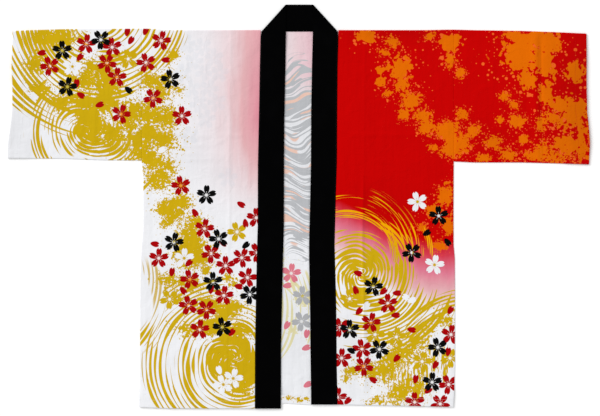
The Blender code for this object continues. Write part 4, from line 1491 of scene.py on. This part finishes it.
def finishes():
    """All of the materials, made once."""
    chosen = bpy.context.scene.happi_print
    if "printed_back" in bpy.data.materials:
        return bpy.data.materials
    inks = Inks(*(tuple(getattr(chosen, name)) for name in Inks._fields))
    effects = {
        "weave": weave_group(),
        "blossom": blossom_group(),
        "whirl": whirl_group(),
        "flecks": fleck_group(),
        "water": water_group(),
    }
    effects["face"] = print_group("Print on the face", inks, effects)
    effects["reverse"] = print_group("Print on the reverse", reverse_inks(inks), effects)
    for name in ("printed_white_side", "printed_red_side", "printed_back"):
        printed_cotton(name, effects, "face")
    printed_cotton("faded_reverse", effects, "reverse")
    black_cotton("black_collar", chosen.collar, effects)
    thread_cotton("white_thread", inks.white)
    thread_cotton("red_thread", tuple(c * 1.1 for c in inks.red))
    thread_cotton("black_thread", (0.006, 0.006, 0.007))
    return bpy.data.materials


# ---------------------------------------------------------------- Stitches


def stitch_tree():
    """Geometry nodes that lay small stitches along a line of edges."""
    tree = bpy.data.node_groups.new("Running stitches", "GeometryNodeTree")
    sockets = [
        ("Geometry", "Geometry", None),
        ("Pitch", "Float", 0.0034),
        ("Length", "Float", 0.0026),
        ("Thread", "Float", 0.0004),
        ("Seed", "Int", 7),
        ("Material", "Material", None),
    ]
    for name, kind, value in sockets:
        socket = tree.interface.new_socket(name, in_out="INPUT", socket_type="NodeSocket" + kind)
        if value is not None:
            socket.default_value = value
    tree.interface.new_socket("Geometry", in_out="OUTPUT", socket_type="NodeSocketGeometry")
    entry = tree.nodes.new("NodeGroupInput")
    line, pitch, length, thread, seed, dye = (Wire(entry, name) for name, _, _ in sockets)

    def add(kind, settings={}, **inputs):
        return Wire(node(kind, named=inputs, tree=tree, **settings))

    curve = add("GeometryNodeMeshToCurve", Mesh=line)
    beads = add("GeometryNodeResampleCurve", {"mode": "LENGTH"}, Curve=curve, Length=pitch)
    bead = add("GeometryNodeMeshUVSphere", Segments=6, Rings=4, Radius=0.5)
    smooth = add("GeometryNodeSetShadeSmooth", Geometry=bead)
    tangent = add("GeometryNodeInputTangent")
    align = add("FunctionNodeAlignRotationToVector", {"axis": "X"}, Vector=tangent)
    wobble = node("FunctionNodeRandomValue", named={"Seed": seed}, data_type="FLOAT")
    least, most = wobble.inputs[2:4]  # the pair for numbers
    least.default_value = 0.86
    most.default_value = 1.08
    sizes = joined(length * Wire(wobble, 1), thread, thread)
    laid = {"Points": beads, "Instance": smooth, "Rotation": align, "Scale": sizes}
    real = add("GeometryNodeRealizeInstances", Geometry=add("GeometryNodeInstanceOnPoints", **laid))
    dyed = add("GeometryNodeSetMaterial", Geometry=real, Material=dye)
    link(dyed, tree.nodes.new("NodeGroupOutput").inputs["Geometry"])
    return tree


def sew(name, lines, material, cut):
    """A row of stitches along each line of points, as one plain mesh."""
    tree = bpy.data.node_groups.get("Running stitches") or stitch_tree()
    points, edges = [], []
    for line in lines:
        start = len(points)
        points += [tuple(p) for p in line]
        edges += [(i, i + 1) for i in range(start, len(points) - 1)]
    guide = bpy.data.meshes.new(name + "_line")
    guide.from_pydata(points, edges, [])
    piece = put_down(name, guide)
    modifier = piece.modifiers.new("Stitches", "NODES")
    modifier.node_group = tree
    values = {
        "Pitch": cut.stitch_pitch,
        "Length": cut.stitch_length,
        "Thread": cut.thread,
        "Seed": cut.seed,
        "Material": material,
    }
    for item in tree.interface.items_tree:
        if item.in_out == "INPUT" and item.name in values:
            modifier[item.identifier] = values[item.name]
    graph = bpy.context.evaluated_depsgraph_get()
    made = bpy.data.meshes.new_from_object(piece.evaluated_get(graph))
    piece.modifiers.remove(modifier)
    piece.data = made
    made.name = name
    bpy.data.meshes.remove(guide)
    if not len(made.polygons):
        raise RuntimeError(f"{name} has no stitches")
    return piece


def hem_line(half, cut):
    """The line of stitches that holds a front's hem, on its outside."""
    across = np.linspace(0.004, 0.985, 90)
    hem_y, _, place = front_frame(half, across, cut)
    y = hem_y + BODY_HEM_DEPTH - STITCH_INSET
    x, z = place(y, 1.0)
    return np.stack([x, y, z + cut.cloth / 2 + STITCH_LIFT], axis=1)


def cuff_line(half, cut):
    """The line of stitches that holds a cuff's hem, on the upper layer."""
    length = abs(half.cuff[0].x - half.sections[0].side)
    along = 1 - (CUFF_HEM_DEPTH - STITCH_INSET) / length
    ring = sleeve_rings(half, [along], cut)[0][0]
    upper = ring[ring[:, 2] > UPPER_LAYER + LAYER]
    upper = upper[np.argsort(upper[:, 1])][2:-2]
    return upper + np.array([0.0, 0.0, cut.cloth / 2 + STITCH_LIFT])


def collar_line(half):
    """The line of top stitches along the strip's seam edge, up one front."""
    edge, middle = 0.045, 0.5
    rows = hanging_rows(half, np.array([edge, middle]), 2 * COLLAR_STEP)
    return np.array([row[0] for row in rows])[1:] + np.array([0.0, 0.0, COLLAR_THICK / 2 + 0.00002])


def back_hem_line(cut):
    """The stitches of the back's hem, on the inside, where they show at the front opening."""
    x = np.linspace(-0.325, 0.318, 160)
    y = read(BACK_HEM, "x", x, "y") + BODY_HEM_DEPTH - STITCH_INSET
    return np.stack([x, y, np.full_like(x, UPPER_LAYER + cut.cloth / 2 + STITCH_LIFT)], axis=1)


# ---------------------------------------------------------------- Operators

SIDES = ((RIGHT, "white"), (LEFT, "red"))


def settle(piece, stitches, node):
    """Hides the solid that a piece and its stitches stand for, and hangs both on the root."""
    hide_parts(node)
    for part in (piece, stitches):
        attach(part, "root")


class HAPPI_OT_back(bpy.types.Operator):
    """Lay the back panel"""

    bl_idname = "happi.lay_back"
    bl_label = "Back"

    def execute(self, context):
        cut, look = context.scene.happi_cut, finishes()
        materials = [look["printed_back"], look["faded_reverse"]]
        piece = make_back(materials, cut, context.scene.happi_print.blossom)
        hem = sew("back_hem_stitches", [back_hem_line(cut)], look["white_thread"], cut)
        settle(piece, hem, "back")
        return {"FINISHED"}


class HAPPI_OT_fronts(bpy.types.Operator):
    """Lay the two front panels"""

    bl_idname = "happi.lay_fronts"
    bl_label = "Fronts"

    def execute(self, context):
        cut, look = context.scene.happi_cut, finishes()
        for half, side in SIDES:
            materials = [look[f"printed_{side}_side"], look["faded_reverse"]]
            piece = make_front(half, materials, cut, context.scene.happi_print.blossom)
            name = f"front_{half.name}"
            hem = sew(name + "_hem_stitches", [hem_line(half, cut)], look["white_thread"], cut)
            settle(piece, hem, name)
        return {"FINISHED"}


class HAPPI_OT_sleeves(bpy.types.Operator):
    """Lay the two sleeves"""

    bl_idname = "happi.lay_sleeves"
    bl_label = "Sleeves"

    def execute(self, context):
        cut, look = context.scene.happi_cut, finishes()
        for half, side in SIDES:
            materials = [look[f"printed_{side}_side"], look["faded_reverse"]]
            piece = make_sleeve(half, materials, cut, context.scene.happi_print.blossom)
            name = f"sleeve_{half.name}"
            hem = sew(name + "_cuff_stitches", [cuff_line(half, cut)], look[f"{side}_thread"], cut)
            settle(piece, hem, name)
        return {"FINISHED"}


class HAPPI_OT_collar(bpy.types.Operator):
    """Lay the collar strip"""

    bl_idname = "happi.lay_collar"
    bl_label = "Collar"

    def execute(self, context):
        cut, look = context.scene.happi_cut, finishes()
        piece = make_collar(look["black_collar"])
        seam = sew("collar_stitches", [collar_line(RIGHT), collar_line(LEFT)], look["black_thread"], cut)
        settle(piece, seam, "collar")
        return {"FINISHED"}


class HAPPI_OT_stage(bpy.types.Operator):
    """Set the floor, the light and the camera"""

    bl_idname = "happi.set_stage"
    bl_label = "Stage"

    def execute(self, context):
        stage, scene = context.scene.happi_stage, context.scene
        tree, inputs = cotton("pale_floor", roughness=0.9, sheen=0.0, specular=0.1)
        grain = noise(Wire(node("ShaderNodeTexCoord", tree=tree), "Object"), scale=3.0)
        link(over(grain, (0.93, 0.93, 0.93), (0.95, 0.95, 0.95)), inputs["Base Color"])
        reach = 9
        rim = [(-reach, -reach, 0), (reach, -reach, 0), (reach, reach, 0), (-reach, reach, 0)]
        floor_mesh = bpy.data.meshes.new("floor")
        floor_mesh.from_pydata(rim, [], [(0, 1, 2, 3)])
        floor_mesh.materials.append(bpy.data.materials["pale_floor"])
        floor = put_down("floor", floor_mesh)

        scene.world = bpy.data.worlds.new("studio")
        scene.world.use_nodes = True
        sky = scene.world.node_tree.nodes["Background"]
        sky.inputs["Color"].default_value = (1.0, 1.0, 1.0, 1.0)
        sky.inputs["Strength"].default_value = stage.sky
        light = bpy.data.lights.new("key", "SUN")
        light.angle = math.radians(35)
        light.energy = stage.key
        lamp = put_down("key", light)
        lamp.location = (-2.3, 1.9, 2.4)
        lamp.rotation_euler = (-lamp.location).to_track_quat("-Z", "Y").to_euler()

        camera_data = bpy.data.cameras.new("camera")
        camera_data.lens = stage.lens
        camera_data.sensor_width = 36.0
        middle_x, middle_y, level = 0.00265, -0.00318, 0.003
        distance = stage.width * stage.lens / camera_data.sensor_width
        scene.camera = put_down("camera", camera_data)
        scene.camera.location = (middle_x, middle_y, level + distance)
        scene.view_settings.view_transform = "Standard"
        return {"FINISHED"}


class HAPPI_PT_panel(bpy.types.Panel):
    """The coat's sizes, colours and pieces"""

    bl_idname = "HAPPI_PT_panel"
    bl_label = "Happi Coat"
    bl_space_type = "VIEW_3D"
    bl_region_type = "UI"
    bl_category = "Happi"

    def draw(self, context):
        layout = self.layout
        for operator in OPERATORS:
            layout.operator(operator.bl_idname)
        for group in (context.scene.happi_cut, context.scene.happi_print, context.scene.happi_stage):
            box = layout.box()
            for name in group.__annotations__:
                box.prop(group, name)


OPERATORS = (HAPPI_OT_back, HAPPI_OT_fronts, HAPPI_OT_sleeves, HAPPI_OT_collar, HAPPI_OT_stage)
CLASSES = (CoatCut, CoatPrint, CoatStage, *OPERATORS, HAPPI_PT_panel)


def register():
    for cls in CLASSES:
        bpy.utils.register_class(cls)
    bpy.types.Scene.happi_cut = PointerProperty(type=CoatCut)
    bpy.types.Scene.happi_print = PointerProperty(type=CoatPrint)
    bpy.types.Scene.happi_stage = PointerProperty(type=CoatStage)


def unregister():
    del bpy.types.Scene.happi_stage
    del bpy.types.Scene.happi_print
    del bpy.types.Scene.happi_cut
    for cls in reversed(CLASSES):
        bpy.utils.unregister_class(cls)


def main():
    register()
    bpy.ops.happi.set_stage()
    bpy.ops.happi.lay_back()
    bpy.ops.happi.lay_fronts()
    bpy.ops.happi.lay_sleeves()
    bpy.ops.happi.lay_collar()


if __name__ == "__main__":
    main()
